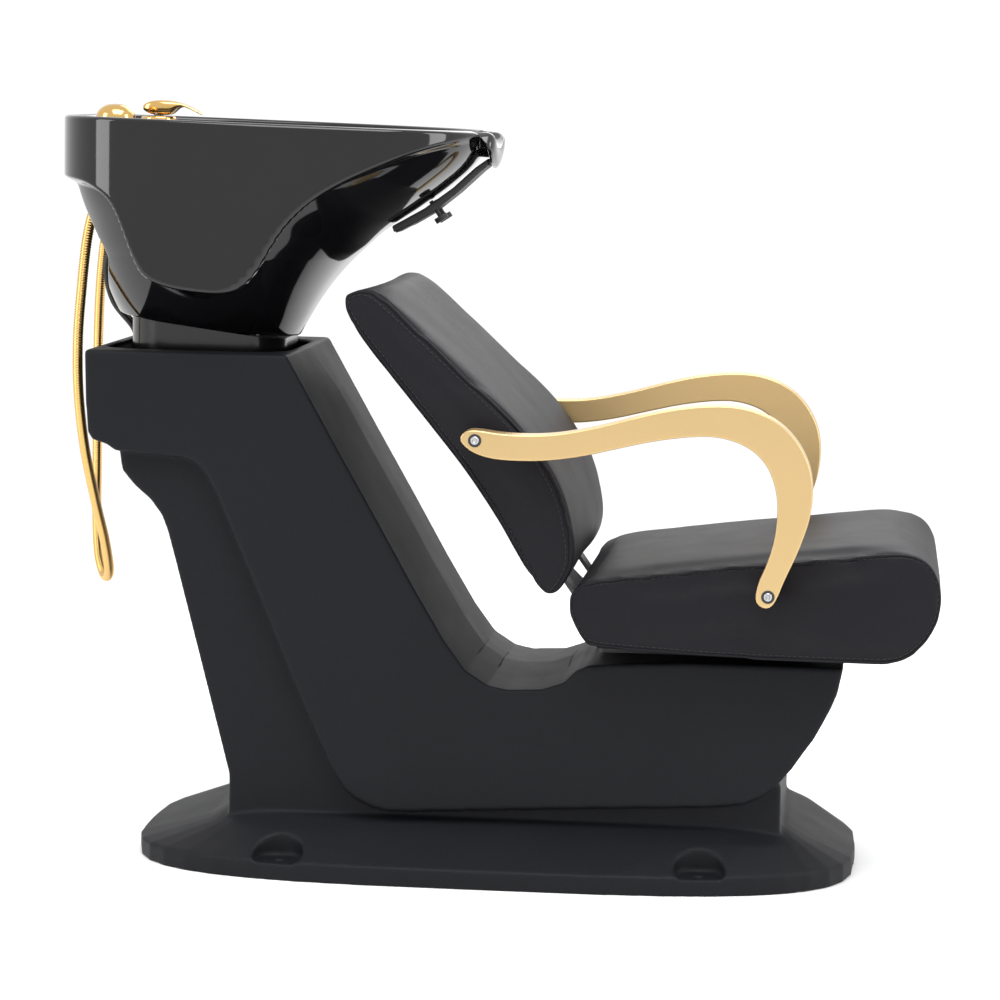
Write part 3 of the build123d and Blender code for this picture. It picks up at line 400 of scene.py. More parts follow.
MATERIALS["hose_black"] = MATERIALS["rubber_black"]


def finish_piece(obj, slot, body, *nodes, look=None):
    """Give a piece its material and body, and name the CAD nodes it replaces."""
    obj.data.materials.clear()
    obj.data.materials.append(MATERIALS[look or slot])
    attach(obj, body)
    if nodes:
        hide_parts(*nodes)


for node, node_obj in NODES.items():
    node_material = MATERIALS[SLOT_OF[node]]
    if not node_obj.material_slots:
        node_obj.data.materials.append(node_material)
    for material_slot in node_obj.material_slots:
        material_slot.material = node_material


# ------------------------------------------------------------------ body moulding
# the body's upper front edge in side view: x, z
BODY_EDGE = np.array([
    (-268, 689), (-197, 564), (-142, 469), (-93, 383), (-52, 315), (-23, 276),
    (7, 257), (32, 252), (79, 254), (108, 264), (130, 283)], float) * MM
CROWN_REACH = 3.5 * MM        # surface this close to the edge line is crowned
CROWN_HALF_WIDTH = 176 * MM
CROWN_HEIGHT = 9 * MM


def build_body():
    """Body shell, remeshed soft, its front edge crowned towards the middle."""
    body = copy_node("body_shell", "body_moulding")
    soften(body, voxel=0.0029, rounds=6)
    points = vertex_array(body)
    side_view = points[:, [0, 2]]
    nearest = np.full(len(points), 9.0)
    normals = np.zeros((len(points), 2))
    position = np.zeros(len(points))      # segment index plus the share along it
    segments = len(BODY_EDGE) - 1
    for i in range(segments):
        start = BODY_EDGE[i]
        along = BODY_EDGE[i + 1] - start
        length_sq = along @ along
        share = np.clip(((side_view - start) @ along) / length_sq, 0, 1)
        distance = np.linalg.norm(side_view - (start + share[:, None] * along), axis=1)
        closer = distance < nearest
        nearest[closer] = distance[closer]
        normals[closer] = np.array([-along[1], along[0]]) / math.sqrt(length_sq)
        position[closer] = (i + share)[closer]
    across = np.clip(1 - np.abs(points[:, 1]) / CROWN_HALF_WIDTH, 0, 1)
    push = (nearest < CROWN_REACH) * across * CROWN_HEIGHT
    # fades out over the first half segment and the last whole one
    push *= np.clip(position / 0.5, 0, 1) * np.clip(segments - position, 0, 1)
    points[:, 0] += normals[:, 0] * push
    points[:, 2] += normals[:, 1] * push
    move_vertices(body, points)
    finish_piece(body, "body_plastic", "base", "body_shell")


build_body()

# ------------------------------------------------------------------ bowl
# outer bell and inner basin: z, rear x, front x, half width
OUTER = np.array([
    (700, -508, -282, 113), (722, -521, -270, 126), (745, -533, -257, 139),
    (772, -543, -239, 154), (800, -552, -216, 169), (826, -560, -190, 183),
    (850, -566, -163, 195), (884, -574, -112, 212), (912, -579, -74, 222),
    (940, -584, -44, 228), (970, -588, -25, 233), (1004, -589, -19, 235)], float)
INNER = np.array([
    (773, -446, -354, 40), (779, -458, -326, 62), (792, -468, -298, 88),
    (820, -476, -252, 122), (868, -470, -178, 162), (915, -452, -116, 192),
    (955, -442, -76, 206), (985, -438, -60, 210)], float)
# side view of the skirt, where the wall follows the rim's outline, not the bell: x, z
SKIRT = smooth_closed([
    (-640, 1060), (-640, 925), (-600, 913), (-556, 909), (-536, 905), (-512, 890),
    (-500, 872), (-489, 843), (-478, 812), (-464, 786), (-434, 772), (-394, 764),
    (-354, 762), (-321, 764), (-298, 776), (-281, 797), (-268, 822), (-249, 855),
    (-223, 884), (-190, 908), (-144, 932), (-92, 955), (-46, 970), (20, 990),
    (20, 1060)], 400)
# rear wall x by height inside the hose niche
NICHE_Z = [700, 745, 780, 830, 880, 900]
NICHE_X = [-556, -541, -530, -516, -500, -498]
BOWL_SIDES = 288
WALL_STEPS = 240
BOWL_TURN = angles(BOWL_SIDES)
# rear x, front x, half width, rear exponent, front exponent
RIM_OUTSIDE = (-590, -20, 235, 3.2, 2.6)
RIM_INSIDE = (-575, -38, 220, 3.2, 2.6)
SHELF = (-566, -52, 213, 3.2, 2.6)
WIDEST_X = -380.0
RIM_RISE = 4.5          # height of the rolled rim over its edges
FOOT_X, FOOT_RADIUS = -395, 113
DECK_Z = 978
BASIN_EDGE_Z = 974.0
DRAIN_X, DRAIN_RADIUS = -400, 21.6
CRADLE_Z, CRADLE_RADIUS = 1058, 108.0     # axis height and radius of the neck cut-out


def bowl_ring(rear, front, half_width, rear_power, front_power):
    """Superellipse outline as x, y, with its own depth and exponent front and rear."""
    middle = np.minimum(np.maximum(WIDEST_X, rear + half_width * 0.55), (rear + front) / 2)
    cosine, sine = np.cos(BOWL_TURN), np.sin(BOWL_TURN)
    power = 2 / np.where(cosine > 0, front_power, rear_power)
    reach = np.where(cosine > 0, front - middle, middle - rear)
    return np.stack([middle + reach * np.sign(cosine) * np.abs(cosine) ** power,
                     half_width * np.sign(sine) * np.abs(sine) ** power], 1)


def station_at(table, z):
    """Rear x, front x and half width at height z, by a smooth cubic."""
    heights = table[:, 0]
    i = int(np.clip(np.searchsorted(heights, z) - 1, 0, len(heights) - 2))
    below, low = table[max(i - 1, 0)], table[i]
    high, above = table[i + 1], table[min(i + 2, len(heights) - 1)]
    gap = high[0] - low[0]
    t = (z - low[0]) / gap
    low_slope = (high - below) / (high[0] - below[0]) * gap
    high_slope = (above - low) / (above[0] - low[0]) * gap
    station = ((2 * t ** 3 - 3 * t ** 2 + 1) * low + (t ** 3 - 2 * t ** 2 + t) * low_slope
               + (-2 * t ** 3 + 3 * t ** 2) * high + (t ** 3 - t ** 2) * high_slope)
    return station[1], station[2], station[3]


def depth_inside(px, pz, polygon):
    """Signed distance to a closed polygon, positive inside."""
    nearest = np.full(px.shape, 1e9)
    inside = np.zeros(px.shape, bool)
    for (ax, az), (bx, bz) in zip(polygon, np.roll(polygon, -1, 0)):
        ex, ez = bx - ax, bz - az
        t = np.clip(((px - ax) * ex + (pz - az) * ez) / (ex * ex + ez * ez + 1e-9), 0, 1)
        nearest = np.minimum(nearest, np.hypot(px - ax - t * ex, pz - az - t * ez))
        spans = (az > pz) != (bz > pz)
        inside ^= spans & (px < ex * (pz - az) / (bz - az + 1e-12) + ax)
    return np.where(inside, nearest, -nearest)


def ease(x):
    """Smooth step from 0 to 1."""
    x = np.clip(x, 0, 1)
    return x * x * (3 - 2 * x)


def rim_z(x):
    return 993.0 - (x + 300) * 0.024


def foot_z(x):
    return 717.0 - (x - FOOT_X) * 0.1298


BELL_Z = np.linspace(690, 1010, 321)
BELL = np.array([station_at(OUTER, z) for z in np.clip(BELL_Z, 700, 1003.9)])


def bell_ring(z):
    """Outer bell outline where every column has its own height."""
    rear, front, half_width = (np.interp(z, BELL_Z, BELL[:, k]) for k in range(3))
    return bowl_ring(rear, front, half_width, 2.0 + (z - 700) / 250, 2.0 + (z - 700) / 500)


def outside_rings(hull):
    bottom = foot_z(FOOT_X + FOOT_RADIUS * np.cos(BOWL_TURN))
    top = rim_z(hull[:, 0]) - RIM_RISE
    rings = []
    for step in range(WALL_STEPS + 1):
        z = bottom + (top - bottom) * (step / WALL_STEPS)
        skirt = ease((depth_inside(hull[:, 0], z, SKIRT) + 4) / 13)[:, None]
        ring = bell_ring(z) * (1 - skirt) + hull * skirt
        # niche behind the bell for hoses
        niche = (ease((124 - np.abs(ring[:, 1])) / 12) * ease((908 - z) / 10)
                 * ease((z - 742) / 30))
        push = np.clip(np.interp(z, NICHE_Z, NICHE_X) - ring[:, 0], 0, None)
        ring[:, 0] += push * (ring[:, 0] < -440) * niche
        rings.append(np.column_stack([ring, z]))
    return rings


def rim_rings(hull):
    """Rolled rim, then the shelf inside it down to the basin's edge."""
    rings = []
    inner = bowl_ring(*RIM_INSIDE)
    for angle in np.linspace(0, np.pi, 9)[1:]:
        share = (1 - math.cos(angle)) / 2
        ring = hull * (1 - share) + inner * share
        z = rim_z(ring[:, 0]) + RIM_RISE * math.sin(angle) - RIM_RISE
        rings.append(np.column_stack([ring, z]))
    ledge = rings[-1][:, :2]
    shelf = bowl_ring(*SHELF)
    deck = ease((-400 - ledge[:, 0]) / 60)      # deck only behind the basin
    start_z = rim_z(ledge[:, 0]) - 5
    for f in (0.35, 0.7, 0.9, 1.0):
        z = start_z - (start_z - DECK_Z) * f * deck - 4 * f * (1 - deck)
        rings.append(np.column_stack([ledge * (1 - 0.1 * f) + shelf * 0.1 * f, z]))
    shoulder = rings[-1]
    basin = bowl_ring(*station_at(INNER, 980), 2.9, 2.5)
    for f in (0.15, 0.4, 0.7, 0.9, 1.0):
        ring = shoulder[:, :2] * (1 - f) + basin * f
        z = shoulder[:, 2] * (1 - f ** 2) + BASIN_EDGE_Z * f ** 2
        rings.append(np.column_stack([ring, z]))
    return rings


def basin_rings():
    """Basin wall, floor and drain hole."""
    rings = []
    for z in np.concatenate([np.linspace(966, 800, 36), np.linspace(797, 773, 10)]):
        ring = bowl_ring(*station_at(INNER, z), 2.0 + (z - 772) / 240, 2.0 + (z - 772) / 420)
        rings.append(np.column_stack([ring, np.full(BOWL_SIDES, z)]))
    floor_edge = rings[-1][:, :2]
    for f in (0.25, 0.5):
        ring = floor_edge * (1 - f) + np.array([DRAIN_X, 0.0]) * f
        rings.append(np.column_stack([ring, np.full(BOWL_SIDES, 773 - 1.2 * f)]))
    for z in (772.0, 754.0):
        rings.append(np.column_stack([DRAIN_X + DRAIN_RADIUS * np.cos(BOWL_TURN),
                                      DRAIN_RADIUS * np.sin(BOWL_TURN),
                                      np.full(BOWL_SIDES, z)]))
    return rings


def underside_rings():
    """Round recess under the basin, back out to the foot."""
    rings = []
    for radius, z in ((86, 753.0), (87.5, 750.0), (88, 740.0), (88, None)):
        x, y = FOOT_X + radius * np.cos(BOWL_TURN), radius * np.sin(BOWL_TURN)
        height = np.full(BOWL_SIDES, z) if z else foot_z(x) + 1
        rings.append(np.column_stack([x, y, height]))
    return rings


def build_bowl():
    hull = bowl_ring(*RIM_OUTSIDE)
    rings = outside_rings(hull) + rim_rings(hull) + basin_rings() + underside_rings()
    verts = np.vstack(rings)
    # round cradle for the neck cut into the front of the rim
    x, y, z = verts.T
    cradle = CRADLE_Z - np.sqrt(np.clip(CRADLE_RADIUS ** 2 - y ** 2, 0, None))
    cradle = np.where(np.abs(y) < 106, cradle, 2000)
    limit = cradle + (1 - ease((x + 128) / 26)) * 200
    verts[:, 2] = np.where(x > -132, np.minimum(z, limit), z)
    bowl = mesh_obj("bowl_glazed", verts * MM, loft_faces(len(rings), BOWL_SIDES, ends="join"))
    clean_mesh(bowl.data, merge=0.00002)
    add_smooth(bowl, rounds=5)
    apply_mods(bowl)
    finish_piece(bowl, "glazed_black", "bowl", "bowl")


build_bowl()

# ------------------------------------------------------------------ neck rest
# section of the neck pad: x, radius from the cradle's axis
SADDLE = smooth_closed([
    (-52, 106.9), (-53, 101), (-47, 96), (-36, 92), (-24, 90), (-15, 91), (-9, 95),
    (-7.2, 102), (-8, 112), (-11, 120), (-15, 123), (-17.2, 119), (-17.4, 110),
    (-21, 107)], 48)
PAD_STEPS = 60
PAD_HALF_ANGLE = math.radians(42.0)
RIB_COUNT = 9
RIB_SIDES = 10
RIB_HALF_LENGTH = 33.0
RIB_HALF_X, RIB_HALF_Z = 0.8, 1.3


def build_neck_pad():
    """A soft saddle that hooks over the front lip, its section drawn in at the ends."""
    centre_x, centre_radius = SADDLE.mean(0)
    centre_radius += 4
    verts = []
    for i in range(PAD_STEPS + 1):
        across = 2 * i / PAD_STEPS - 1
        angle = PAD_HALF_ANGLE * across
        size = 0.06 + 0.94 * (1 - abs(across) ** 14) ** 0.5
        for px, radius in SADDLE:
            x = centre_x + (px - centre_x) * size
            radius = centre_radius + (radius - centre_radius) * size
            verts.append((x * MM, radius * math.sin(angle) * MM,
                          (CRADLE_Z - radius * math.cos(angle)) * MM))
    pad = mesh_obj("neck_pad", verts, loft_faces(PAD_STEPS + 1, len(SADDLE)))
    clean_mesh(pad.data)
    finish_piece(pad, "gel_black", "neck_rest", "neck_rest")


def build_neck_carrier():
    carrier = copy_node("neck_carrier", "neck_carrier_body")
    soften(carrier, voxel=0.0014, rounds=3)
    finish_piece(carrier, "rubber_black", "neck_rest", "neck_carrier")
    # finger ribs across the carrier's underside
    verts, faces = [], []
    for i in range(RIB_COUNT):
        f = i / (RIB_COUNT - 1)
        x, z = -144 + 17 * f, 848.6 + 9.4 * f
        faces += loft_faces(2, RIB_SIDES, first=len(verts))
        for y in (-RIB_HALF_LENGTH, RIB_HALF_LENGTH):
            for angle in angles(RIB_SIDES):
                verts.append(((x + RIB_HALF_X * math.cos(angle)) * MM, y * MM,
                              (z + RIB_HALF_Z * math.sin(angle)) * MM))
    ribs = mesh_obj("neck_carrier_ribs", verts, faces)
    finish_piece(ribs, "rubber_black", "neck_rest")


build_neck_pad()
build_neck_carrier()

# ------------------------------------------------------------------ arms
# side view of an arm, upper and outer edge, then the inner edge back: x, z
ARM_OUTLINE = smooth_closed([
    (-22, 598), (-16, 605), (-3, 607), (30, 602), (68, 601), (107, 604), (158, 615),
    (209, 630), (260, 642), (313, 647), (349, 643), (381, 630), (407, 608),
    (424, 580), (431, 554), (432, 529), (429, 503), (421, 477), (411, 451),
    (399, 425), (389, 398),
    (381, 387), (370, 387), (361, 396), (364, 417), (376, 444), (385, 476),
    (388, 515), (384, 544), (373, 571), (353, 591), (325, 603), (292, 607),
    (235, 600), (184, 588), (133, 575), (82, 568), (30, 568), (4, 573), (-12, 581),
    (-22, 591)], 260, rounds=3)
ARM_Y = 278             # middle of an arm, either side
ARM_HALF_WIDTH = 18
ARM_ROUNDING = 2.2
# tag, x, z, side
ARM_BOLTS = [("seat_r", 378, 402, -1), ("seat_l", 378, 402, 1),
             ("back_r", -3, 593, -1), ("back_l", -3, 593, 1)]
# lathe profiles: radius, height over the arm's outer face
BOLT_PARTS = [
    ("washer", "rubber_black",
     [(4.6, -1), (4.6, 0.9), (5.4, 1.3), (7.8, 1.2), (8.6, 0.5), (8.8, -1)]),
    ("head", "steel",
     [(0.0, 0.2), (2.7, 0.2), (2.75, 1.7), (3.1, 2.0), (4.6, 1.9), (5.5, 1.2), (5.6, -1)])]
SOCKET_LIMIT = 3.0      # rings smaller than this belong to the hexagonal socket
BOLT_SIDES = 48


def build_arm(side, node):
    name = node + "_swept"
    curve = bpy.data.curves.new(name, "CURVE")
    curve.dimensions = "2D"
    curve.fill_mode = "BOTH"
    edge = curve.splines.new("POLY")
    points = inset(ARM_OUTLINE, ARM_ROUNDING)
    edge.points.add(len(points) - 1)
    for i, (px, pz) in enumerate(points):
        edge.points[i].co = (px * MM, pz * MM, 0, 1)
    edge.use_cyclic_u = True
    curve.extrude = (ARM_HALF_WIDTH - ARM_ROUNDING) * MM
    curve.bevel_depth = ARM_ROUNDING * MM
    curve.bevel_resolution = 3
    drawn = link(bpy.data.objects.new(node + "_tmp", curve))
    mesh = evaluated_mesh(drawn)
    mesh.transform(Matrix.Translation((0, side * ARM_Y * MM, 0))
                   @ Matrix.Rotation(math.pi / 2, 4, "X"))
    bpy.data.objects.remove(drawn)
    arm = link(bpy.data.objects.new(name, mesh))
    clean_mesh(mesh, merge=0.00001)
    shade_smooth(mesh)
    arm.modifiers.new("w", "WEIGHTED_NORMAL").keep_sharp = False
    finish_piece(arm, "gold_satin", "base", node)


def build_bolt_part(name, slot, profile, bolt_x, bolt_z, side):
    verts = []
    for ring_radius, height in profile:
        for angle in angles(BOLT_SIDES):
            radius = ring_radius
            if ring_radius < SOCKET_LIMIT:
                off_flat = ((angle + math.pi / 6) % (math.pi / 3)) - math.pi / 6
                radius = ring_radius / math.cos(off_flat)
            verts.append(((bolt_x + radius * math.cos(angle)) * MM,
                          side * (ARM_Y + ARM_HALF_WIDTH + height) * MM,
                          (bolt_z + radius * math.sin(angle)) * MM))
    part = mesh_obj(name, verts, loft_faces(len(profile), BOLT_SIDES, ends="open"))
    clean_mesh(part.data, merge=0.000005)
    finish_piece(part, slot, "base")


build_arm(-1, "arm_right")
build_arm(1, "arm_left")
for tag, bolt_x, bolt_z, side in ARM_BOLTS:
    for part, slot, profile in BOLT_PARTS:
        build_bolt_part(f"arm_bolt_{part}_{tag}", slot, profile, bolt_x, bolt_z, side)

# ------------------------------------------------------------------ cushions
# side views: x, z
SEAT = [
    (110, 377), (111, 390), (120, 404), (133, 411), (185, 420), (288, 434), (417, 450),
    (519, 461), (545, 463), (570, 460), (590, 449), (602, 429), (607, 405), (606, 384),
    (599, 360), (587, 340), (568, 321), (549, 311), (530, 308), (485, 308), (420, 308),
    (291, 310), (226, 314), (161, 317), (141, 321), (128, 332), (115, 355)]
BACK = [
    (-190, 767), (-187, 776), (-174, 783), (-158, 786), (-141, 781), (-108, 753),
    (-55, 705), (-2, 657), (51, 607), (88, 559), (111, 515), (123, 463), (125, 437),
    (119, 412), (105, 390), (94, 380), (82, 384), (68, 400), (49, 434), (27, 473),
    (3, 511), (-24, 550), (-55, 588), (-103, 646), (-151, 703), (-181, 741)]
CUSHION_HALF = 250
CUSHION_SPANS = 36
CUSHION_INSET = 3.0             # block is this much smaller before it swells
SWELL_LIMIT = 4.5               # how far the sides may pass the half width
SEAM_Y = (CUSHION_HALF - 1.0) * MM
# the rest of this group is in metres
SEAM_DEPTH = 0.0026
SEAM_FLAT, SEAM_FADE = 0.004, 0.0045
WELT_RADIUS, WELT_LIFT = 0.0022, 0.0004
THREAD_RADIUS = 0.0006
THREAD_LIFT, THREAD_ARCH = 0.0001, 0.0005
# stitches, in millimetres
STITCH_INSET, STITCH_PITCH, STITCH_LENGTH = 11.0, 7.6, 5.0
STITCH_POINTS, THREAD_SIDES = 5, 6


def cushion_block(name, outline):
    section = inset(smooth_closed(outline, 150), CUSHION_INSET)
    half = CUSHION_HALF - CUSHION_INSET
    verts = []
    for j in range(CUSHION_SPANS + 1):
        y = -half + 2 * half * j / CUSHION_SPANS
        verts += [(px * MM, y * MM, pz * MM) for px, pz in section]
    block = mesh_obj(name, verts, loft_faces(CUSHION_SPANS + 1, len(section)))
    add_remesh(block, voxel=0.0065)
    apply_mods(block)
    return block


def inflate(block):
    """Swell the block with cloth pressure."""
    cloth = block.modifiers.new("c", "CLOTH")
    settings = cloth.settings
    settings.quality = 4
    settings.mass = 0.3
    # stiff cover: stretches little, shears and bends a bit
    settings.tension_stiffness = 20
    settings.compression_stiffness = 20
    settings.shear_stiffness = 10
    settings.bending_stiffness = 2
    # pressure alone, no gravity or collisions
    settings.use_pressure = True
    settings.uniform_pressure_force = 3.5
    settings.effector_weights.gravity = 0
    cloth.collision_settings.use_collision = False
    cloth.point_cache.frame_start = 1
    cloth.point_cache.frame_end = 18
    scene = bpy.context.scene
    for number in range(1, 17):
        scene.frame_set(number)
    apply_mods(block)
    scene.frame_set(1)
    return vertex_array(block)


def calm_wrinkles(block, moves):
    """Keep the swell, average out most of the small wrinkles."""
    ends = np.empty(len(block.data.edges) * 2, dtype=np.int32)
    block.data.edges.foreach_get("vertices", ends)
    first, second = ends.reshape(-1, 2).T
    count = len(moves)
    neighbours = np.bincount(ends, minlength=count)[:, None]
    calm = moves.copy()
    for _ in range(26):
        total = np.stack([np.bincount(first, calm[second, k], count)
                          + np.bincount(second, calm[first, k], count)
                          for k in range(3)], 1)
        calm = 0.4 * calm + 0.6 * total / neighbours
    return calm + 0.18 * (moves - calm)


def press_seams(pad, seam):
    """Draw the padding in along both side seams."""
    points, normals = vertex_array(pad), vertex_array(pad, "normal")
    tree = KDTree(len(seam) * 2)
    for s, side in enumerate((-1, 1)):
        for i, (px, pz) in enumerate(seam):
            tree.insert((px * MM, side * SEAM_Y, pz * MM), s * len(seam) + i)
    tree.balance()
    distance = np.array([tree.find(point)[2] for point in points])
    fade = np.exp(-(np.maximum(distance - SEAM_FLAT, 0) / SEAM_FADE) ** 2)
    points -= normals * (SEAM_DEPTH * fade)[:, None]
    move_vertices(pad, points)
    return BVHTree.FromPolygons([Vector(point) for point in points],
                                [tuple(face.vertices) for face in pad.data.polygons])


def add_welt(name, seam, surface, side):
    path = []
    for px, pz in seam:
        spot, normal = surface.find_nearest(Vector((px * MM, side * SEAM_Y, pz * MM)))[:2]
        path.append(spot + normal * WELT_LIFT)
    path = np.array(path)
    for _ in range(6):
        path = (np.roll(path, 1, 0) + np.roll(path, -1, 0) + 2 * path) / 4
    welt = tube(name, path, WELT_RADIUS, sides=8, closed=True)
    finish_piece(welt, "leatherette", "base")


def add_stitches(name, seam, surface, side):
    """Stitch line on the side panel, just inside its edge."""
    loop = closed_loop(inset(seam, STITCH_INSET))
    lengths = run_lengths(loop)
    total = lengths[-1]
    outward = Vector((0, side, 0))
    last = STITCH_POINTS - 1
    verts, faces = [], []
    count = int(total / STITCH_PITCH)
    for i in range(count):
        start = total * i / count
        where = np.linspace(start, start + STITCH_LENGTH, STITCH_POINTS) % total
        spots = []
        for px, pz in points_at(loop, lengths, where):
            spot = surface.ray_cast(Vector((px * MM, side * 0.32, pz * MM)), -outward)[0]
            if spot is not None:
                spots.append(spot)
        if len(spots) < STITCH_POINTS:
            continue
        faces += loft_faces(STITCH_POINTS, THREAD_SIDES, first=len(verts))
        for k, spot in enumerate(spots):
            lift = THREAD_ARCH * math.sin(math.pi * k / last) + THREAD_LIFT
            along = (spots[min(k + 1, last)] - spots[max(k - 1, 0)]).normalized()
            across = along.cross(Vector((0, 1, 0)))
            for a in range(THREAD_SIDES):
                angle = a * math.pi / 3
                verts.append(spot + outward * (lift + THREAD_RADIUS * math.sin(angle))
                             + across * THREAD_RADIUS * math.cos(angle))
    stitches = mesh_obj(name, verts, faces)
    finish_piece(stitches, "leatherette", "base", look="thread")


def build_cushion(name, outline, node, swell, flat_below=None):
    """Padded block: inflated, then drawn in along its welted seams.

    swell caps the bulge; below the height flat_below it is held nearly flat."""
    pad = cushion_block(name, outline)
    start = vertex_array(pad)
    end = inflate(pad)
    moves = calm_wrinkles(pad, end - start)
    length = np.linalg.norm(moves, axis=1)
    limit = swell * MM
    moves *= (limit * np.tanh(length / limit) / (length + 1e-9))[:, None]
    if flat_below is not None:
        moves[start[:, 2] < flat_below * MM] *= 0.15
    points = start + moves
    # stay within the side limit beside the arms
    side_limit = (CUSHION_HALF + SWELL_LIMIT) * MM
    points[:, 1] = np.clip(points[:, 1], -side_limit, side_limit)
    move_vertices(pad, points)
    add_subdivision(pad, levels=1)
    add_smooth(pad, rounds=4)
    apply_mods(pad)
    seam = smooth_closed(outline, 420)
    surface = press_seams(pad, seam)
    finish_piece(pad, "leatherette", "base", node)
    for side, tag in ((-1, "near"), (1, "far")):
        add_welt(f"{name}_welt_{tag}", seam, surface, side)
        add_stitches(f"{name}_stitch_{tag}", seam, surface, side)


def build_seat_board():
    """The seat board stops short of the padding's rounded front."""
    board = copy_node("seat_board", "seat_board_panel")
    points = vertex_array(board)
    points[:, 0] = 0.152 + (points[:, 0] - 0.150) * 0.915
    points[:, 1] *= 0.975
    move_vertices(board, points)
    finish_piece(board, "plywood", "base", "seat_board")


def build_cover_tail():
    """Small fabric tail under the back, where the cover is closed."""
    verts = []
    for px, pz in ((97, 386), (103, 380), (109, 374), (114, 370)):
        for y in (-60, 60):
            verts.append((px * MM, y * MM, pz * MM))
            verts.append(((px - 3) * MM, y * MM, (pz - 2) * MM))
    faces = []
    for a in (0, 4, 8):
        faces += [(a, a + 2, a + 6, a + 4), (a + 1, a + 5, a + 7, a + 3),
                  (a, a + 4, a + 5, a + 1), (a + 2, a + 3, a + 7, a + 6)]
    faces += [(0, 1, 3, 2), (12, 14, 15, 13)]
    tail = mesh_obj("back_cover_tail", verts, faces, smooth=False)
    finish_piece(tail, "leatherette", "base")


build_cushion("seat_padding", SEAT, "seat_cushion", swell=7, flat_below=330)
build_cushion("back_padding", BACK, "back_cushion", swell=6)
build_seat_board()
build_cover_tail()

# ------------------------------------------------------------------ hoses
HANDSET = (-527, -52)       # x, y of the hand shower's axis
MIXER = (-484, 28)          # x, y of the tap's axis
# path of the shower hose, hanging in a loop behind the chair: x, y, z
SHOWER_HOSE = [
    (*HANDSET, 912), (-533, -54, 900), (-551, -58, 880), (-563, -61, 835),
    (-571, -62, 760), (-576, -60, 693), (-577, -50, 620), (-573, -30, 545),
    (-566, 5, 470), (-560, 45, 405), (-563, 88, 358), (-578, 128, 345), (-594, 160, 372),
    (-602, 182, 430), (-604, 192, 500), (-604, 194, 600), (-602, 188, 690),
    (-594, 168, 770), (-580, 140, 840), (-562, 112, 882), (-548, 95, 903), (-541, 86, 925)]
HOSE_STEP = 0.55
COIL_PITCH = 3.6
SUPPLY_RADIUS = 4.3


def spiral_tube(name, path, root, rise):
    """Hose of wound strip: the radius swells by rise over root once per coil."""
    run = np.arange(len(path)) * HOSE_STEP
    radii = (root + rise * np.abs(np.sin(np.pi * run / COIL_PITCH)) ** 0.7) * MM
    return tube(name, path * MM, radii, sides=16)


def build_shower_hose():
    hose = spiral_tube("spiral_hose", spline(SHOWER_HOSE, HOSE_STEP), root=6.35, rise=0.85)
    finish_piece(hose, "gold_polished", "bowl", "shower_hose")
    # short run inside the sleeve that pays out as the head is lifted
    path = np.array([(*HANDSET, z) for z in np.arange(906, 927, HOSE_STEP)], float)
    tail = spiral_tube("spiral_hose_tail", path, root=6.3, rise=0.8)
    tail.data.materials.append(MATERIALS["gold_polished"])
    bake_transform(tail)


def build_supply_hose(node, top_y, low_y):
    """Supply hose, held by the bowl at the top and by the pedestal lower down."""
    path = [(-488, top_y, 922), (-494, top_y, 902), (-518, top_y + 2, 864),
            (-545, top_y + 4, 825), (-556, top_y + 6, 786), (-546, top_y + 8, 742),
            (-518, top_y + 10, 706), (-512, top_y + 12, 680), (-500, low_y - 10, 630),
            (-474, low_y, 570), (-428, low_y, 520), (-385, low_y, 440),
            (-350, low_y, 330), (-310, low_y, 200), (-250, low_y, 60)]
    run = tube(node + "_run", spline(path, 4.0) * MM, SUPPLY_RADIUS * MM, sides=14)
    run.data.materials.append(NODES[node].data.materials[0])
    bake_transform(run)
    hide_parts(node)


build_shower_hose()
build_supply_hose("supply_hose_hot", top_y=21, low_y=38)
build_supply_hose("supply_hose_cold", top_y=35, low_y=93)

# ------------------------------------------------------------------ tap and hand shower head
# lathe profiles: radius, z
HANDSET_PROFILE = [
    (10, 925), (12, 930), (13.2, 950), (14.2, 978), (15.5, 982), (24, 986),
    (26.6, 991), (26.6, 996), (24.5, 1003), (19, 1009), (11, 1013), (0, 1014.5)]
MIXER_PROFILE = [
    (12, 925), (12, 977.5), (27, 977.6), (28.5, 979), (28.3, 981.5), (25, 983),
    (24, 986), (24, 994), (23.2, 996.8), (21.5, 997.7), (17.6, 997.8)]
# lever sections, faceted cap running out into a thin curved blade:
# x, bottom z, top z, half width
LEVER_SECTIONS = [
    (-505, 1007.5, 1011.5, 11), (-501, 1004.0, 1015.8, 15), (-494, 1000.2, 1018.8, 18),
    (-484, 999.4, 1020.3, 19.5), (-474, 999.4, 1020.2, 19.5), (-464, 999.8, 1019.4, 18.5),
    (-458, 1008.0, 1018.2, 17.5), (-450, 1011.8, 1016.2, 16.5), (-442, 1009.6, 1013.0, 15.5),
    (-434, 1006.0, 1009.0, 14.5), (-427, 1002.4, 1005.0, 13), (-422, 999.6, 1001.6, 10.5)]
LATHE_SIDES = 96
LEVER_SIDES = 20


def lathe(name, profile, centre):
    rings = spline(profile, 0.6)
    verts = []
    for radius, z in rings:
        radius = max(radius, 0.02)
        for angle in angles(LATHE_SIDES):
            verts.append(((centre[0] + radius * math.cos(angle)) * MM,
                          (centre[1] + radius * math.sin(angle)) * MM, z * MM))
    return mesh_obj(name, verts, loft_faces(len(rings), LATHE_SIDES))


def squared(value):
    """Sine or cosine bulged towards a rounded rectangle."""
    return math.copysign(abs(value) ** 0.5, value)


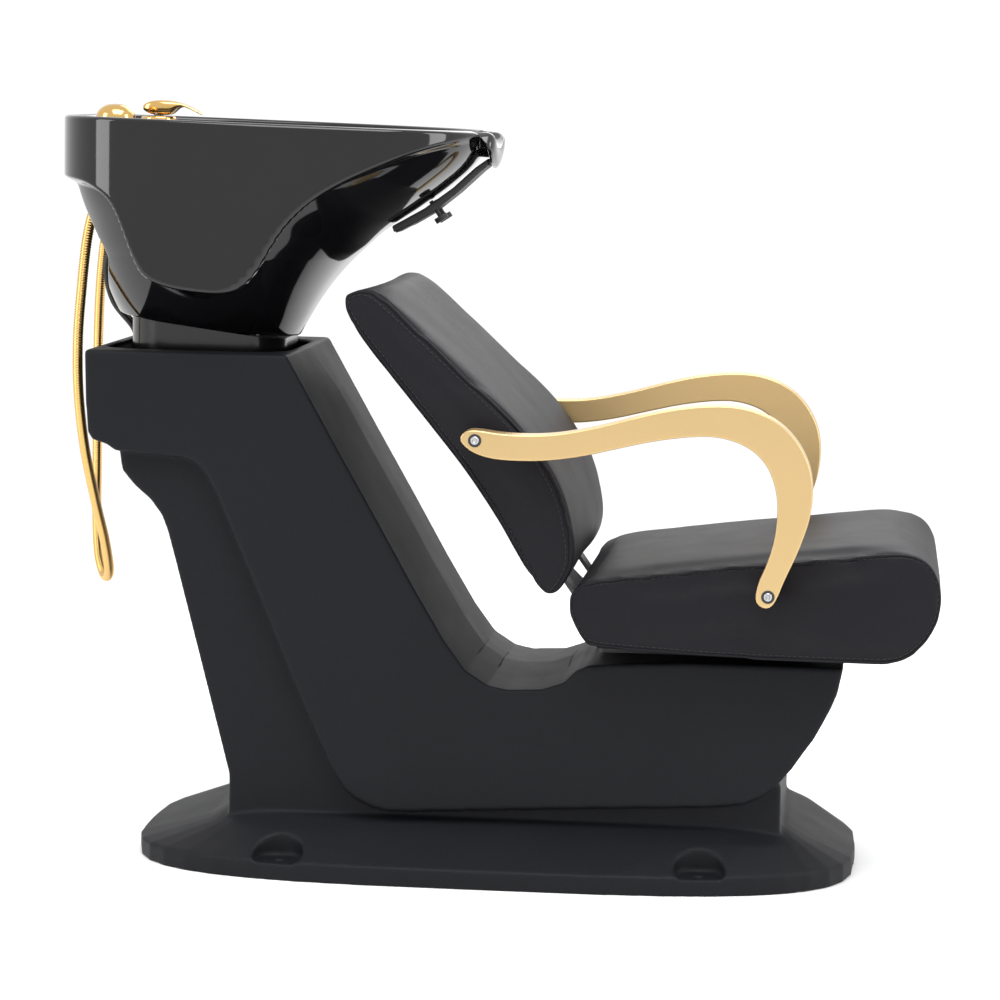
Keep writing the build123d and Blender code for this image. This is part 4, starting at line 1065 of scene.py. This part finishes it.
def build_lever():
    verts = []
    for x, bottom, top, half_width in LEVER_SECTIONS:
        middle, half_height = (bottom + top) / 2, (top - bottom) / 2
        for i in range(LEVER_SIDES):
            angle = 2 * math.pi * i / LEVER_SIDES
            verts.append((x * MM, (MIXER[1] + half_width * squared(math.cos(angle))) * MM,
                          (middle + half_height * squared(math.sin(angle))) * MM))
    lever = mesh_obj("mixer_lever_blade", verts, loft_faces(len(LEVER_SECTIONS), LEVER_SIDES))
    add_subdivision(lever, levels=2)
    apply_mods(lever)
    finish_piece(lever, "gold_polished", "lever", "mixer_lever")


finish_piece(lathe("handset_head", HANDSET_PROFILE, HANDSET),
             "gold_polished", "handset", "handset")
finish_piece(lathe("mixer_dome", MIXER_PROFILE, MIXER),
             "gold_polished", "bowl", "mixer_body")
build_lever()

# ------------------------------------------------------------------ soft edges on CAD parts
BEVEL_WIDTHS = {        # metres
    "bowl_collar": 0.0015, "seat_bracket": 0.0008, "access_panel": 0.0006,
    "neck_knobs": 0.0008, "arm_bolts": 0.0004, "arm_washers": 0.0003,
    "handset_sleeve": 0.0006, "strainer": 0.0004, "arm_spacers": 0.0005}

for node, width in BEVEL_WIDTHS.items():
    bevel = NODES[node].modifiers.new("bevel", "BEVEL")
    bevel.width = width
    bevel.segments = 3
    bevel.limit_method = "ANGLE"
    bevel.angle_limit = math.radians(35)

# ------------------------------------------------------------------ stage, light, camera
# all in metres
FLOOR_HALF_X, FLOOR_HALF_Y = 7.0, 6.0
FLOOR_Z = -0.0005       # just under the chair's feet
CAMERA_YAW = math.radians(6.0)      # swung from the chair's right side towards its front
CAMERA_ROLL = math.radians(1.0)
CAMERA_PITCH = math.atan(0.1125)    # looks down by this slope
CAMERA_DISTANCE, CAMERA_HEIGHT = 4.9, 1.035


def build_floor():
    stations = [-FLOOR_HALF_Y, *np.linspace(-3, 3.0, 6), FLOOR_HALF_Y]
    verts = [(x, y, FLOOR_Z) for y in stations for x in (-FLOOR_HALF_X, FLOOR_HALF_X)]
    faces = [(2 * i, 2 * i + 1, 2 * i + 3, 2 * i + 2) for i in range(len(stations) - 1)]
    floor = mesh_obj("floor_sweep", verts, faces)
    floor.data.materials.append(
        material("pale_floor", base=(0.95, 0.95, 0.95), rough=0.6, noise=[(3, 0.01)]))


def aim_area(name, loc, target, size, power, size_y=None):
    light = bpy.data.lights.new(name, "AREA")
    light.energy = power
    light.size = size
    if size_y:
        light.shape = "RECTANGLE"
        light.size_y = size_y
    lamp = link(bpy.data.objects.new(name, light))
    lamp.location = loc
    aim = Vector(target) - Vector(loc)
    lamp.rotation_euler = aim.to_track_quat("-Z", "Y").to_euler()


def build_world():
    bpy.context.scene.view_settings.view_transform = "Standard"
    world = bpy.data.worlds.new("studio")
    bpy.context.scene.world = world
    world.use_nodes = True
    background = world.node_tree.nodes["Background"].inputs
    background["Color"].default_value = (1, 1, 1, 1)
    background["Strength"].default_value = 1.05


def build_camera():
    backward = Vector((math.sin(CAMERA_YAW) * math.cos(CAMERA_PITCH),
                       -math.cos(CAMERA_YAW) * math.cos(CAMERA_PITCH),
                       math.sin(CAMERA_PITCH)))
    forward = -backward
    level = forward.cross(Vector((0, 0, 1))).normalized()
    upright = level.cross(forward)
    right = level * math.cos(CAMERA_ROLL) + upright * math.sin(CAMERA_ROLL)
    up = -level * math.sin(CAMERA_ROLL) + upright * math.cos(CAMERA_ROLL)
    lens = bpy.data.cameras.new("camera")
    lens.sensor_width = 36.0
    lens.lens = 129.6
    camera = link(bpy.data.objects.new("camera", lens))
    pose = Matrix((right, up, backward)).transposed().to_4x4()
    pose.translation = Vector((CAMERA_DISTANCE * math.sin(CAMERA_YAW),
                               -CAMERA_DISTANCE * math.cos(CAMERA_YAW), CAMERA_HEIGHT))
    camera.matrix_world = pose
    bpy.context.scene.camera = camera


build_floor()
build_world()
aim_area("key_top", loc=(0.3, -1.2, 3.2), target=(0, 0, 0.5), size=2.2, power=95)
aim_area("fill_left", loc=(-3.0, -1.6, 1.7), target=(-0.2, 0, 0.6), size=1.0, power=38,
         size_y=2.2)
aim_area("fill_right", loc=(3.0, -0.6, 1.6), target=(0.0, 0, 0.5), size=1.0, power=40,
         size_y=2.2)
aim_area("back_rim", loc=(0.5, 2.6, 2.4), target=(0, 0, 0.6), size=2.0, power=30)
build_camera()

bpy.context.view_layer.update()
